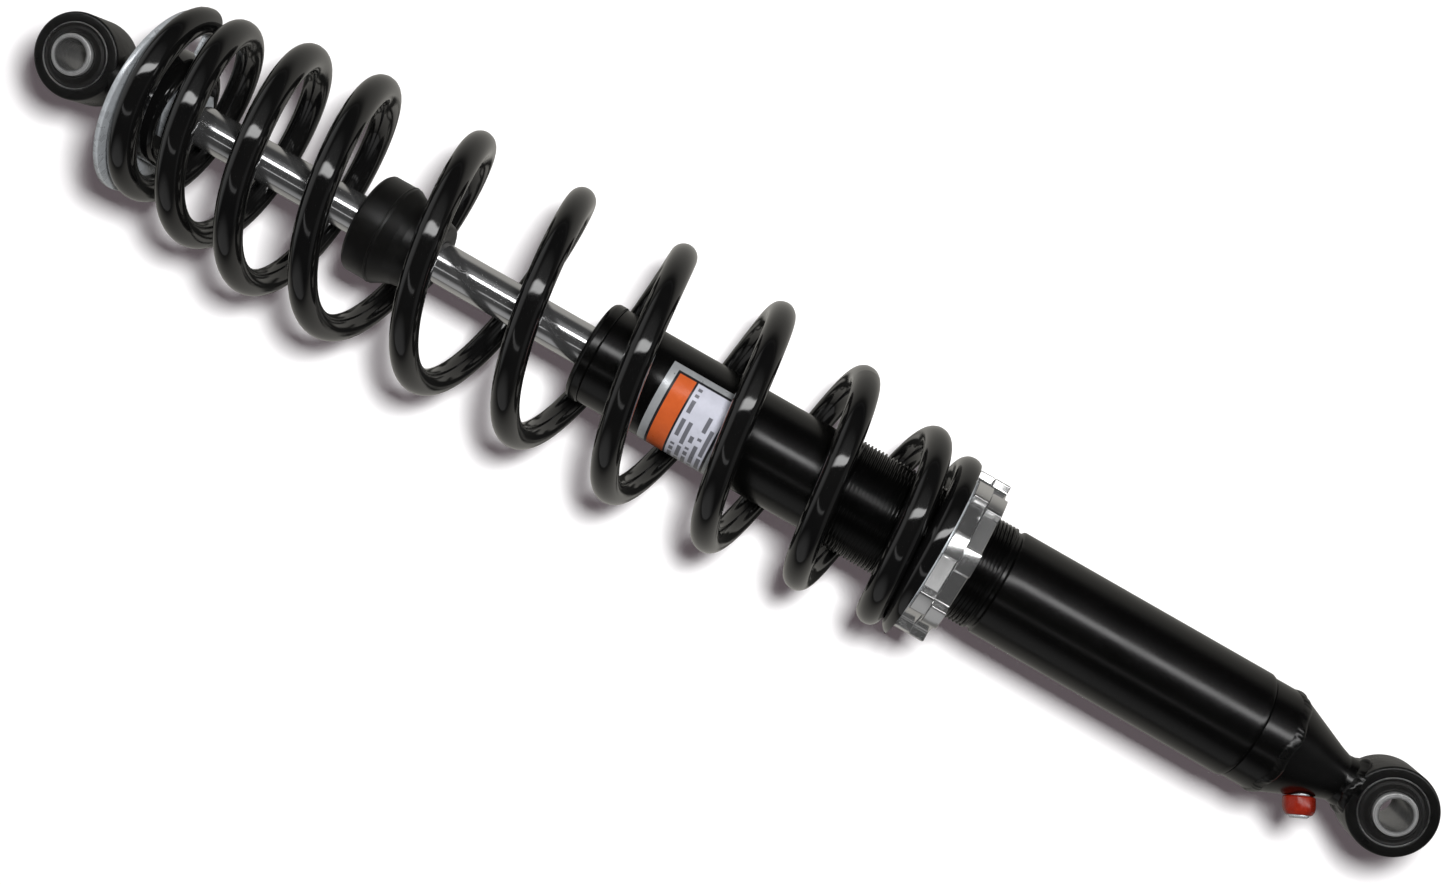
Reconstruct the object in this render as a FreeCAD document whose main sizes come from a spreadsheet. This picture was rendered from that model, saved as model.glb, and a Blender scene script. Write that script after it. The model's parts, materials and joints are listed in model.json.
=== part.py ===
import FreeCAD, Part
import Sketcher
import math, os

# Gas-charged coil-over rear shock for a quad or side-by-side.
# Frame: origin at the centre of the lower eye's bore, +Z along the shock towards
# the upper (rod) eye, both eye bores along Y.  Millimetres throughout.
# The shock is drawn fully extended, with the spring at its installed length.

V = FreeCAD.Vector
doc = FreeCAD.newDocument("rear_shock")

# ------------------------------------------------------------------ dimensions
sheet = doc.addObject("Spreadsheet::Sheet", "dims")
DIMS = [
    ("eye_span", 560.0, "eye to eye, fully extended"),
    ("eye_rad", 16.7, "outer radius of both eye barrels"),
    ("eye_half", 9.3, "half width of the eye barrels"),
    ("eye_bore_rad", 12.8, "bore of the eye barrel that holds the bush"),
    ("shell_rad_in", 12.2, "inner radius of the bush's outer steel shell"),
    ("rubber_rad_in", 8.0, "bore of the bonded rubber"),
    ("sleeve_rad", 7.95, "outer radius of the steel sleeve"),
    ("bolt_rad", 6.0, "mounting bolt bore radius, M12"),
    ("sleeve_half", 12.6, "half length of the steel sleeve"),
    ("neck_rad", 13.0, "upper eye neck under the barrel"),
    ("plate_top", 528.0, "outer face of the spring retainer"),
    ("plate_bot", 526.0, "spring side of the retainer"),
    ("plate_rad", 38.2, "retainer plate radius"),
    ("slot_half", 8.5, "half width of the retainer's slot"),
    ("cup_rad", 22.5, "bump cup outer radius"),
    ("cup_hollow", 18.5, "bump cup hollow radius"),
    ("cup_lip", 515.0, "lip of the bump cup"),
    ("cup_floor", 519.0, "floor of the bump cup's hollow"),
    ("nut_af_half", 11.0, "half across flats of the jam nut"),
    ("jam_low", 511.0, "lower face of the jam nut"),
    ("rod_rad", 8.0, "piston rod radius"),
    ("rod_top", 540.0, "top of the rod inside the eye neck"),
    ("rod_step", 300.0, "shoulder where the piston stud starts"),
    ("stud_rad", 5.0, "piston stud radius"),
    ("stud_end", 269.0, "lower end of the piston stud"),
    ("bump_top", 433.6, "top face of the bump stop"),
    ("bump_low", 403.2, "lower end of the bump stop"),
    ("bump_rad", 20.0, "bump stop radius"),
    ("bump_bore", 8.1, "bump stop bore radius"),
    ("head_top", 336.2, "outer face of the dust cap"),
    ("head_rad", 20.0, "dust cap radius"),
    ("tube_top", 331.0, "top end of the damper tube"),
    ("tube_bore", 17.0, "damper tube bore radius"),
    ("tube_up_rad", 19.6, "turned upper part of the tube"),
    ("thread_top", 230.0, "upper end of the M42 x 1.5 thread"),
    ("thread_low", 164.0, "lower end of the thread"),
    ("thread_rad", 21.0, "thread crest radius"),
    ("tube_low_rad", 21.1, "lower part of the tube"),
    ("tube_end", 57.8, "lower end of the tube"),
    ("cap_rad", 20.3, "end cap cylinder radius"),
    ("cone_top", 45.0, "start of the end cap's cone"),
    ("spigot_top", 70.0, "top of the end cap's spigot"),
    ("nut_rad", 33.0, "ring nut outer radius"),
    ("nut_bore", 21.08, "ring nut bore radius, running over the thread crests"),
    ("nut_notch", 4.4, "depth of the ring nut notches"),
    ("nut_up", 187.4, "upper face of the adjuster nut"),
    ("nut_mid", 181.25, "face between the two ring nuts"),
    ("nut_low", 175.1, "lower face of the lock nut"),
    ("washer_up", 188.5, "spring side of the thrust washer"),
    ("washer_low", 187.5, "nut side of the thrust washer"),
    ("wire_rad", 5.25, "spring wire radius"),
    ("piston_rad", 16.6, "piston radius"),
    ("band_rad", 16.93, "radius over the piston's glide band"),
    ("float_top", 135.0, "floating piston, oil side"),
    ("float_low", 119.0, "floating piston, gas side"),
    ("label_low", 274.0, "lower edge of the label"),
    ("label_up", 304.7, "upper edge of the label"),
    ("label_angle", 184.0, "angle that the label wraps"),
    ("label_thick", 0.2, "label film thickness"),
    ("valve_rad", 4.0, "gas valve body radius"),
    ("vcap_rad", 6.2, "valve cap radius"),
    ("vcap_len", 8.2, "valve cap length"),
]
VAL = {}
for i, (alias, value, note) in enumerate(DIMS, start=1):
    sheet.set("A%d" % i, note)
    sheet.set("B%d" % i, str(value))
    sheet.setAlias("B%d" % i, alias)
    VAL[alias] = value
doc.recompute()


class Q:
    """A size with its number and the sheet expression that drives it."""

    def __init__(self, num, ex):
        self.num = float(num)
        self.ex = ex

    def __add__(self, o):
        o = q(o)
        return Q(self.num + o.num, "(%s + %s)" % (self.ex, o.ex))

    def __sub__(self, o):
        o = q(o)
        return Q(self.num - o.num, "(%s - %s)" % (self.ex, o.ex))

    def __mul__(self, f):
        return Q(self.num * f, "(%s * %s)" % (self.ex, repr(float(f))))


def q(x):
    return x if isinstance(x, Q) else Q(x, repr(float(x)))


def D(alias):
    return Q(VAL[alias], "dims." + alias)


PARTS = []          # every sub-part, in order


def plane(body, role):
    for f in body.Origin.OriginFeatures:
        if f.Role == role:
            return f
    raise RuntimeError("no plane " + role)


def new_body(label):
    b = doc.addObject("PartDesign::Body", label)
    b.Label = label
    PARTS.append(b)
    return b


def new_sketch(body, name, role="XZ_Plane"):
    sk = body.newObject("Sketcher::SketchObject", name)
    sk.AttachmentSupport = [(plane(body, role), "")]
    sk.MapMode = "FlatFace"
    return sk


def bind(sk, con, size):
    idx = sk.addConstraint(con)
    sk.setExpression("Constraints[%d]" % idx, size.ex)


def polygon(sk, pts):
    """Closed outline; every corner is placed from the origin by two driven sizes."""
    pts = [(q(a), q(b)) for a, b in pts]
    n = len(pts)
    first = len(sk.Geometry)
    for i in range(n):
        a, b = pts[i], pts[(i + 1) % n]
        sk.addGeometry(Part.LineSegment(V(a[0].num, a[1].num, 0), V(b[0].num, b[1].num, 0)), False)
    for i in range(n):
        sk.addConstraint(Sketcher.Constraint("Coincident", first + i, 2, first + (i + 1) % n, 1))
    for i, (a, b) in enumerate(pts):
        if abs(a.num) < 1e-9:
            sk.addConstraint(Sketcher.Constraint("PointOnObject", first + i, 1, -2))
        elif a.num > 0:
            bind(sk, Sketcher.Constraint("DistanceX", -1, 1, first + i, 1, a.num), a)
        else:
            m = a * -1.0
            bind(sk, Sketcher.Constraint("DistanceX", first + i, 1, -1, 1, m.num), m)
        if abs(b.num) < 1e-9:
            sk.addConstraint(Sketcher.Constraint("PointOnObject", first + i, 1, -1))
        elif b.num > 0:
            bind(sk, Sketcher.Constraint("DistanceY", -1, 1, first + i, 1, b.num), b)
        else:
            m = b * -1.0
            bind(sk, Sketcher.Constraint("DistanceY", first + i, 1, -1, 1, m.num), m)


def circle(sk, cx, cz, rad):
    cx, cz, rad = q(cx), q(cz), q(rad)
    g = sk.addGeometry(Part.Circle(V(cx.num, cz.num, 0), V(0, 0, 1), rad.num), False)
    bind(sk, Sketcher.Constraint("Radius", g, rad.num), rad)
    if abs(cx.num) < 1e-9 and abs(cz.num) < 1e-9:
        sk.addConstraint(Sketcher.Constraint("Coincident", g, 3, -1, 1))
        return g
    if abs(cx.num) < 1e-9:
        sk.addConstraint(Sketcher.Constraint("PointOnObject", g, 3, -2))
    else:
        bind(sk, Sketcher.Constraint("DistanceX", -1, 1, g, 3, cx.num), cx)
    if abs(cz.num) < 1e-9:
        sk.addConstraint(Sketcher.Constraint("PointOnObject", g, 3, -1))
    else:
        bind(sk, Sketcher.Constraint("DistanceY", -1, 1, g, 3, cz.num), cz)
    return g


def revolve(body, pts, name="profile", angle=None, groove=False):
    """Turns a closed (radius, height) outline about the shock's axis."""
    sk = new_sketch(body, body.Label + "_" + name)
    polygon(sk, pts)
    kind = "PartDesign::Groove" if groove else "PartDesign::Revolution"
    f = body.newObject(kind, body.Label + "_" + name + "_turned")
    f.Profile = sk
    f.ReferenceAxis = (sk, ["V_Axis"])
    if angle is None:
        f.Angle = 360.0
    else:
        f.setExpression("Angle", angle.ex)
    body.Tip = f
    return f


def turned(label, pts):
    b = new_body(label)
    revolve(b, pts)
    return b


def pad_sym(body, sk, length, name):
    p = body.newObject("PartDesign::Pad", name)
    p.Profile = sk
    p.Midplane = True
    p.setExpression("Length", length.ex)
    body.Tip = p
    return p


def pocket_all(body, sk, name):
    p = body.newObject("PartDesign::Pocket", name)
    p.Profile = sk
    p.Midplane = True
    p.Type = 1
    body.Tip = p
    return p


def ring_y(label, z0, rad_out, rad_in, half):
    """A plain ring whose bore runs along Y."""
    b = new_body(label)
    sk = new_sketch(b, label + "_ring")
    circle(sk, 0, z0, rad_out)
    circle(sk, 0, z0, rad_in)
    pad_sym(b, sk, q(half) * 2.0, label + "_pad")
    return b


def oring(label, r_in, r_out, z_mid):
    """Seal ring with an eight-sided section, resting in its groove."""
    r_in, r_out, z_mid = q(r_in), q(r_out), q(z_mid)
    w = (r_out - r_in) * 0.5
    c = (r_out + r_in) * 0.5
    k = 0.4142
    pts = []
    for a, b in ((1, k), (k, 1), (-k, 1), (-1, k), (-1, -k), (-k, -1), (k, -1), (1, -k)):
        pts.append((c + w * a, z_mid + w * b))
    return turned(label, pts)


Z = D

# ------------------------------------------------------------------ upper eye and its bush
span = D("eye_span")
eye = new_body("upper_eye")
sk = new_sketch(eye, "upper_eye_barrel")
circle(sk, 0, span, D("eye_rad"))
pad_sym(eye, sk, D("eye_half") * 2.0, "upper_eye_pad")
revolve(eye, [(0, span - 2), (D("neck_rad") - 3.2, span - 2), (D("neck_rad") - 3.2, span - 19),
              (D("neck_rad") - 1.5, span - 22), (D("neck_rad"), span - 25),
              (D("neck_rad"), D("plate_top") + 0.6), (D("neck_rad") - 0.6, D("plate_top")),
              (D("rod_rad") + 0.0, D("plate_top")), (D("rod_rad"), D("rod_top")), (0, D("rod_top"))],
        name="neck")
sk = new_sketch(eye, "upper_eye_hole")
circle(sk, 0, span, D("eye_bore_rad"))
pocket_all(eye, sk, "upper_eye_bore")

for side, z0 in (("upper", span), ("lower", q(0))):
    ring_y(side + "_bush_shell", z0, D("eye_bore_rad"), D("shell_rad_in"), D("eye_half") + 0.2)
    # bonded rubber with a moulded recess on each face
    b = ring_y(side + "_bush_rubber", z0, D("shell_rad_in"), D("rubber_rad_in"), D("eye_half") + 0.9)
    b = ring_y(side + "_bush_sleeve", z0, D("sleeve_rad"), D("bolt_rad"), D("sleeve_half"))

# ------------------------------------------------------------------ spring retainer (C plate)
plate = new_body("spring_retainer")
pr = D("plate_rad")
revolve(plate, [(0, D("plate_bot") + 0.4), (0, D("plate_top")), (pr - 0.7, D("plate_top")),
                (pr, D("plate_top") - 0.7), (pr, D("plate_bot") + 0.7), (pr - 0.7, D("plate_bot")),
                (D("cup_rad") + 0.3, D("plate_bot")), (D("cup_rad") + 0.1, D("plate_bot") + 0.4)])
sk = new_sketch(plate, "spring_retainer_slot", "XY_Plane")
sh = D("slot_half")
# slot open towards +X with a round inner end
g0 = sk.addGeometry(Part.LineSegment(V(0, sh.num, 0), V(45, sh.num, 0)), False)
g1 = sk.addGeometry(Part.LineSegment(V(45, sh.num, 0), V(45, -sh.num, 0)), False)
g2 = sk.addGeometry(Part.LineSegment(V(45, -sh.num, 0), V(0, -sh.num, 0)), False)
g3 = sk.addGeometry(Part.ArcOfCircle(Part.Circle(V(0, 0, 0), V(0, 0, 1), sh.num), math.pi / 2, 3 * math.pi / 2), False)
sk.addConstraint(Sketcher.Constraint("Coincident", g0, 2, g1, 1))
sk.addConstraint(Sketcher.Constraint("Coincident", g1, 2, g2, 1))
sk.addConstraint(Sketcher.Constraint("Tangent", g0, 1, g3, 1))
sk.addConstraint(Sketcher.Constraint("Tangent", g2, 2, g3, 2))
sk.addConstraint(Sketcher.Constraint("Horizontal", g0))
sk.addConstraint(Sketcher.Constraint("Horizontal", g2))
sk.addConstraint(Sketcher.Constraint("Vertical", g1))
sk.addConstraint(Sketcher.Constraint("Coincident", g3, 3, -1, 1))
bind(sk, Sketcher.Constraint("Radius", g3, sh.num), sh)
bind(sk, Sketcher.Constraint("DistanceX", -1, 1, g0, 2, 45.0), q(45.0))
p = plate.newObject("PartDesign::Pocket", "spring_retainer_cut")
p.Profile = sk
p.Midplane = True
p.setExpression("Length", (D("eye_span") * 2.2).ex)
plate.Tip = p

# ------------------------------------------------------------------ bump cup and jam nut
rr = D("rod_rad")
turned("bump_cup", [(rr, D("cup_floor")), (D("cup_hollow") - 1.5, D("cup_floor")), (D("cup_hollow"), D("cup_floor") - 1.2),
                    (D("cup_hollow") + 0.6, D("cup_lip") + 0.9), (D("cup_hollow") + 1.7, D("cup_lip")),
                    (D("cup_rad") - 1.4, D("cup_lip")), (D("cup_rad") - 0.2, D("cup_lip") + 1.4),
                    (D("cup_rad"), D("cup_lip") + 4), (D("cup_rad"), D("plate_bot") + 0.4), (D("slot_half") - 0.1, D("plate_bot") + 0.4),
                    (D("slot_half") - 0.1, D("plate_top")), (rr, D("plate_top"))])
jam = new_body("rod_jam_nut")
revolve(jam, [(rr, D("jam_low")), (D("nut_af_half") + 0.3, D("jam_low")), (D("nut_af_half") + 1.8, D("jam_low") + 0.9),
              (D("nut_af_half") + 1.8, D("cup_floor")), (rr, D("cup_floor"))])
sk = new_sketch(jam, "rod_jam_nut_flat", "YZ_Plane")
polygon(sk, [(-12, D("jam_low") - 1), (12, D("jam_low") - 1), (12, D("cup_floor") + 1), (-12, D("cup_floor") + 1)])
fl = jam.newObject("PartDesign::Pocket", "rod_jam_nut_flats")
fl.Profile = sk
fl.Offset = 0.0
fl.Length = 4.0
fl.Reversed = True
sk.setExpression("AttachmentOffset.Base.z", D("nut_af_half").ex)
jam.Tip = fl
doc.recompute()
pat = jam.newObject("PartDesign::PolarPattern", "rod_jam_nut_hex")
pat.Originals = [fl]
pat.Axis = (jam.Origin.OriginFeatures[[f.Role for f in jam.Origin.OriginFeatures].index("Z_Axis")], [""])
pat.Angle = 360.0
pat.Occurrences = 6
jam.Tip = pat

# ------------------------------------------------------------------ rod with its piston stud
turned("damper_rod", [(0, D("stud_end")), (D("stud_rad") - 0.7, D("stud_end")), (D("stud_rad"), D("stud_end") + 0.7),
                      (D("stud_rad"), D("rod_step")), (rr, D("rod_step")), (rr, D("rod_top") - 1),
                      (rr - 1, D("rod_top")), (0, D("rod_top"))])

# ------------------------------------------------------------------ bump stop
bt, bl, br, bb = D("bump_top"), D("bump_low"), D("bump_rad"), D("bump_bore")
turned("bump_stop", [(bb, bt), (br - 1.2, bt), (br - 0.3, bt - 0.4), (br, bt - 1.3), (br, bt - 10.0), (br + 0.25, bt - 10.2),
                     (br + 0.25, bt - 10.6), (br, bt - 10.8), (br, bt - 11.6), (br - 0.8, bt - 13.2),
                     (br - 2.6, bt - 16.4), (br - 3.6, bt - 19.2), (br - 4.3, bt - 23.5), (br - 5.0, bt - 28.0), (br - 6.0, bl),
                     (bb, bl)])

# ------------------------------------------------------------------ damper head
ht, hr, tt = D("head_top"), D("head_rad"), D("tube_top")
tb = D("tube_bore")
turned("dust_cap", [(12.4, tt), (hr - 0.2, tt), (hr, tt + 0.3), (hr, tt + 2.8), (hr - 0.3, tt + 4.0), (hr - 1.0, ht - 0.4), (hr - 2.0, ht),
                    (12.0, ht), (12.0, tt + 1.6), (12.4, tt + 1.2)])
turned("wiper_seal", [(8.06, tt + 0.2), (12.0, tt + 1.6), (12.0, ht + 0.3), (10.6, ht + 0.6), (9.6, ht - 0.3), (8.5, ht + 1.4), (8.06, ht + 1.0)])
turned("seal_head", [(8.35, tt - 22), (14.6, tt - 22), (tb, tt - 20.5), (tb, tt - 13), (tb - 1.75, tt - 13), (tb - 1.75, tt - 10.4),
                     (tb, tt - 10.4), (tb, tt), (8.4, tt), (8.4, tt - 2), (11.6, tt - 2), (11.6, tt - 7), (9.4, tt - 7),
                     (9.4, tt - 19.5), (8.35, tt - 19.5)])
turned("rod_bushing", [(8.06, tt - 19.5), (9.4, tt - 19.5), (9.4, tt - 7.4), (8.06, tt - 7.4)])
turned("rod_seal", [(8.05, tt - 7.0), (11.6, tt - 7.0), (11.6, tt - 2.0), (10.2, tt - 2.0), (9.8, tt - 4.4), (8.9, tt - 4.4), (8.5, tt - 2.2), (8.05, tt - 2.8)])
oring("seal_head_o_ring", tb - 1.75, tb, tt - 11.7)

# The label, ring nuts and gas valve stand turned by this angle about the shock's axis, counted from the eyes.
AIM = 7.5

# ------------------------------------------------------------------ damper tube
ur, lr, cr = D("tube_up_rad"), D("tube_low_rad"), D("thread_rad")
th, tl, te = D("thread_top"), D("thread_low"), D("tube_end")
turned("damper_tube", [(tb, te), (lr - 0.8, te), (lr, te + 0.9), (lr, tl - 2.2), (cr - 1.2, tl - 1.2), (cr - 1.2, tl - 0.2), (cr, tl + 0.6),
                       (cr, th - 0.8), (ur, th), (ur, tt), (tb, tt)])

# ------------------------------------------------------------------ label film
lab = new_body("label_band")
revolve(lab, [(ur, D("label_low")), (ur + D("label_thick"), D("label_low")), (ur + D("label_thick"), D("label_up")), (ur, D("label_up"))],
        angle=D("label_angle"))
lab.Placement = FreeCAD.Placement(V(0, 0, 0), FreeCAD.Rotation(V(0, 0, 1), 120.0 + AIM))

# ------------------------------------------------------------------ end cap: spigot, cylinder, cone, welds
CONE = (20.0 - 8.9) / 25.0                   # radius lost per mm of height
cap_r, ct, sp = D("cap_rad"), D("cone_top"), D("spigot_top")
cap_body = doc.addObject("PartDesign::Body", "end_cap_turned")
cap_body.Label = "end_cap_turned"
sk = new_sketch(cap_body, "end_cap_outline")
polygon(sk, [(0, 34.0), (5.0, 36.0), (12.6, ct), (13.2, sp), (tb - 0.6, sp), (tb, sp - 0.8),
             (tb, te + 8.0), (tb - 1.75, te + 8.0), (tb - 1.75, te + 5.4), (tb, te + 5.4), (tb, te), (cap_r - 0.5, te), (cap_r, te - 0.5),
             (cap_r, ct + 2.4), (cap_r + 0.9, ct + 1.8), (cap_r + 1.1, ct + 0.6), (cap_r + 0.6, ct - 0.8), (cap_r - 0.8, ct - 2.2),
             (cap_r - 1.9, ct - 2.8), (9.2, 20.6), (10.4, 19.4), (10.6, 18.2), (9.4, 16.4), (9.4, 12.0), (0, 12.0)])
f = cap_body.newObject("PartDesign::Revolution", "end_cap_rev")
f.Profile = sk
f.ReferenceAxis = (sk, ["V_Axis"])
f.Angle = 360.0
cap_body.Tip = f
saddle = doc.addObject("Part::Cylinder", "end_cap_saddle")
saddle.setExpression("Radius", "dims.eye_rad")
saddle.setExpression("Height", "dims.eye_half * 4")
saddle.Placement = FreeCAD.Placement(V(0, VAL["eye_half"] * 2, 0), FreeCAD.Rotation(V(1, 0, 0), 90))

# gas valve: stands square to the cone, on the -X side and a little towards -Y
slope = math.atan(CONE)
PHI = math.radians(12.0 + AIM)
vdir = V(-math.cos(slope) * math.cos(PHI), -math.cos(slope) * math.sin(PHI), -math.sin(slope))
vz = 29.5
vrad = 20.0 - (45.0 - vz) * CONE
vpt = V(-vrad * math.cos(PHI), -vrad * math.sin(PHI), vz)
vplace = FreeCAD.Placement(vpt, FreeCAD.Rotation(V(0, 0, 1), vdir))
bore = doc.addObject("Part::Cylinder", "end_cap_valve_bore")
bore.setExpression("Radius", "dims.valve_rad")
bore.Height = 30
bore.Placement = vplace.multiply(FreeCAD.Placement(V(0, 0, -9.0), FreeCAD.Rotation()))
gas = doc.addObject("Part::Cylinder", "end_cap_gas_way")
gas.Radius = 1.5
gas.Height = 20
gas.Placement = vplace.multiply(FreeCAD.Placement(V(0, 0, -16.0), FreeCAD.Rotation()))
tools = doc.addObject("Part::MultiFuse", "end_cap_tools")
tools.Shapes = [bore, gas]
cut1 = doc.addObject("Part::Cut", "end_cap_on_eye")
cut1.Base = cap_body
cut1.Tool = saddle
cut2 = doc.addObject("Part::Cut", "end_cap")
cut2.Base = cut1
cut2.Tool = tools
cut2.Label = "end_cap"
PARTS.append(cut2)
oring("end_cap_o_ring", tb - 1.75, tb, te + 6.7)

# valve body, core and cap, drawn upright with z = 0 on the cone and then placed on it
vr = D("valve_rad")
vb = turned("gas_valve_body", [(1.5, -8.8), (vr, -8.8), (vr, -0.3), (vr - 0.9, 0.3), (vr - 0.9, 5.6), (vr - 1.4, 6.1), (1.5, 6.1)])
vb.Placement = vplace
vc = turned("valve_core", [(0, -7.6), (1.1, -7.6), (1.1, -6.6), (0.6, -6.6), (0.6, -3.4), (1.42, -3.0), (1.42, 2.6), (0.6, 3.0),
                           (0.6, 5.2), (0, 5.2)])
vc.Placement = vplace
cr_, cl_ = D("vcap_rad"), D("vcap_len")
cap = turned("valve_cap", [(vr - 0.8, 0.5), (cr_ - 0.5, 0.5), (cr_, 1.0), (cr_, cl_ - 1.4), (cr_ - 0.5, cl_ - 0.5), (cr_ - 1.4, cl_),
                           (3.6, cl_), (3.6, cl_ - 0.6), (0, cl_ - 0.6), (0, 6.5), (vr - 0.8, 6.5)])
cap.Placement = vplace
disc = turned("valve_cap_disc", [(0, cl_ - 0.6), (3.6, cl_ - 0.6), (3.6, cl_ + 0.3), (3.0, cl_ + 0.8), (0, cl_ + 0.8)])
disc.Placement = vplace

# ------------------------------------------------------------------ lower eye
ring_y("lower_eye", 0, D("eye_rad"), D("eye_bore_rad"), D("eye_half"))


# ------------------------------------------------------------------ ring nuts and thrust washer
def ring_nut(label, low, up, turn):
    b = new_body(label)
    nr, nb = D("nut_rad"), D("nut_bore")
    revolve(b, [(nb, low + 0.6), (nb + 0.6, low), (nr - 0.9, low), (nr, low + 0.7), (nr, up - 0.7), (nr - 0.9, up),
                (nb + 0.6, up), (nb, up - 0.6)])
    sk = new_sketch(b, label + "_notch", "XY_Plane")
    root = nr - D("nut_notch")
    polygon(sk, [(root, -6.3), (root + 0.9, -7.2), (nr + 3.0, -8.0), (nr + 3.0, 8.0), (root + 0.9, 7.2), (root, 6.3)])
    n = b.newObject("PartDesign::Pocket", label + "_notch_cut")
    n.Profile = sk
    n.Midplane = True
    n.setExpression("Length", "dims.eye_span * 1.2")
    b.Tip = n
    doc.recompute()
    p = b.newObject("PartDesign::PolarPattern", label + "_notches")
    p.Originals = [n]
    p.Axis = (plane(b, "Z_Axis"), [""])
    p.Angle = 360.0
    p.Occurrences = 8
    b.Tip = p
    b.Placement = FreeCAD.Placement(V(0, 0, 0), FreeCAD.Rotation(V(0, 0, 1), turn))
    return b


ring_nut("adjuster_nut", D("nut_mid"), D("nut_up"), 28.0 + AIM)
ring_nut("lock_nut", D("nut_low"), D("nut_mid"), 22.5 + AIM)
turned("spring_thrust_washer", [(21.4, D("washer_low")), (31.2, D("washer_low")), (31.2, D("washer_up")), (21.4, D("washer_up"))])

# ------------------------------------------------------------------ piston set on the rod's stud
rs, sr = D("rod_step"), D("stud_rad")
turned("top_out_bumper", [(rr, rs + 2.2), (12.6, rs + 2.2), (13.0, rs + 3.0), (12.4, rs + 5.6), (13.0, rs + 7.6), (12.0, rs + 8.4), (rr, rs + 8.4)])
turned("top_out_washer", [(sr, rs - 1.8), (11.6, rs - 1.8), (12.6, rs + 2.2), (rr, rs + 2.2), (rr, rs), (sr, rs)])
turned("rebound_shims", [(sr, rs - 3.6), (13.4, rs - 3.6), (13.4, rs - 3.0), (11.6, rs - 3.0), (11.6, rs - 2.4), (9.8, rs - 2.4),
                         (9.8, rs - 1.8), (sr, rs - 1.8)])
pis = new_body("piston")
pw = D("piston_rad")
bd = D("band_rad")
revolve(pis, [(sr, rs - 18.6), (9.0, rs - 18.6), (9.0, rs - 18.2), (13.2, rs - 18.2), (13.2, rs - 18.6), (pw - 0.8, rs - 18.6), (pw, rs - 17.8), (pw, rs - 14.6),
              (pw - 1.2, rs - 14.6), (pw - 1.2, rs - 7.6), (pw, rs - 7.6), (pw, rs - 4.4), (pw - 0.8, rs - 3.6),
              (sr, rs - 3.6)])
sk = new_sketch(pis, "piston_port", "XY_Plane")
circle(sk, 11.2, 0, 1.7)
pp = pis.newObject("PartDesign::Pocket", "piston_port_cut")
pp.Profile = sk
pp.Midplane = True
pp.setExpression("Length", "dims.eye_span * 2")
pis.Tip = pp
doc.recompute()
pt = pis.newObject("PartDesign::PolarPattern", "piston_ports")
pt.Originals = [pp]
pt.Axis = (plane(pis, "Z_Axis"), [""])
pt.Angle = 360.0
pt.Occurrences = 6
pis.Tip = pt
turned("piston_band", [(pw - 1.2, rs - 14.5), (bd, rs - 14.5), (bd, rs - 7.7), (pw - 1.2, rs - 7.7)])
turned("compression_shims", [(sr, rs - 20.4), (9.8, rs - 20.4), (9.8, rs - 19.8), (11.6, rs - 19.8), (11.6, rs - 19.2), (13.4, rs - 19.2), (13.4, rs - 18.6),
                             (sr, rs - 18.6)])
pn = new_body("piston_nut")
revolve(pn, [(sr, rs - 29.6), (8.4, rs - 29.6), (9.6, rs - 28.8), (9.6, rs - 22.0), (11.0, rs - 21.6), (11.0, rs - 20.4), (sr, rs - 20.4)])
sk = new_sketch(pn, "piston_nut_flat", "YZ_Plane")
polygon(sk, [(-12, rs - 32), (12, rs - 32), (12, rs - 21.6), (-12, rs - 21.6)])
sk.AttachmentOffset = FreeCAD.Placement(V(0, 0, 8.5), FreeCAD.Rotation())
pf = pn.newObject("PartDesign::Pocket", "piston_nut_flats")
pf.Profile = sk
pf.Length = 4.0
pf.Reversed = True
pn.Tip = pf
doc.recompute()
ph = pn.newObject("PartDesign::PolarPattern", "piston_nut_hex")
ph.Originals = [pf]
ph.Axis = (plane(pn, "Z_Axis"), [""])
ph.Angle = 360.0
ph.Occurrences = 6
pn.Tip = ph

# ------------------------------------------------------------------ floating piston between oil and gas
ft, fl_ = D("float_top"), D("float_low")
turned("floating_piston", [(0, ft - 4.0), (9.0, ft - 4.0), (11.0, ft - 1.0), (11.6, ft), (pw - 0.6, ft), (pw, ft - 0.8), (pw, ft - 2.6),
                           (pw - 1.6, ft - 2.6), (pw - 1.6, ft - 5.0), (pw, ft - 5.0), (pw, ft - 7.2), (pw - 1.2, ft - 7.2),
                           (pw - 1.2, ft - 12.6), (pw, ft - 12.6), (pw, fl_ + 0.8), (pw - 0.8, fl_), (12.0, fl_), (12.0, fl_ + 8.4), (0, fl_ + 8.4)])
oring("floating_piston_o_ring", pw - 1.6, bd, ft - 3.8)
turned("floating_piston_band", [(pw - 1.2, ft - 12.5), (bd, ft - 12.5), (bd, ft - 7.3), (pw - 1.2, ft - 7.3)])

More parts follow.
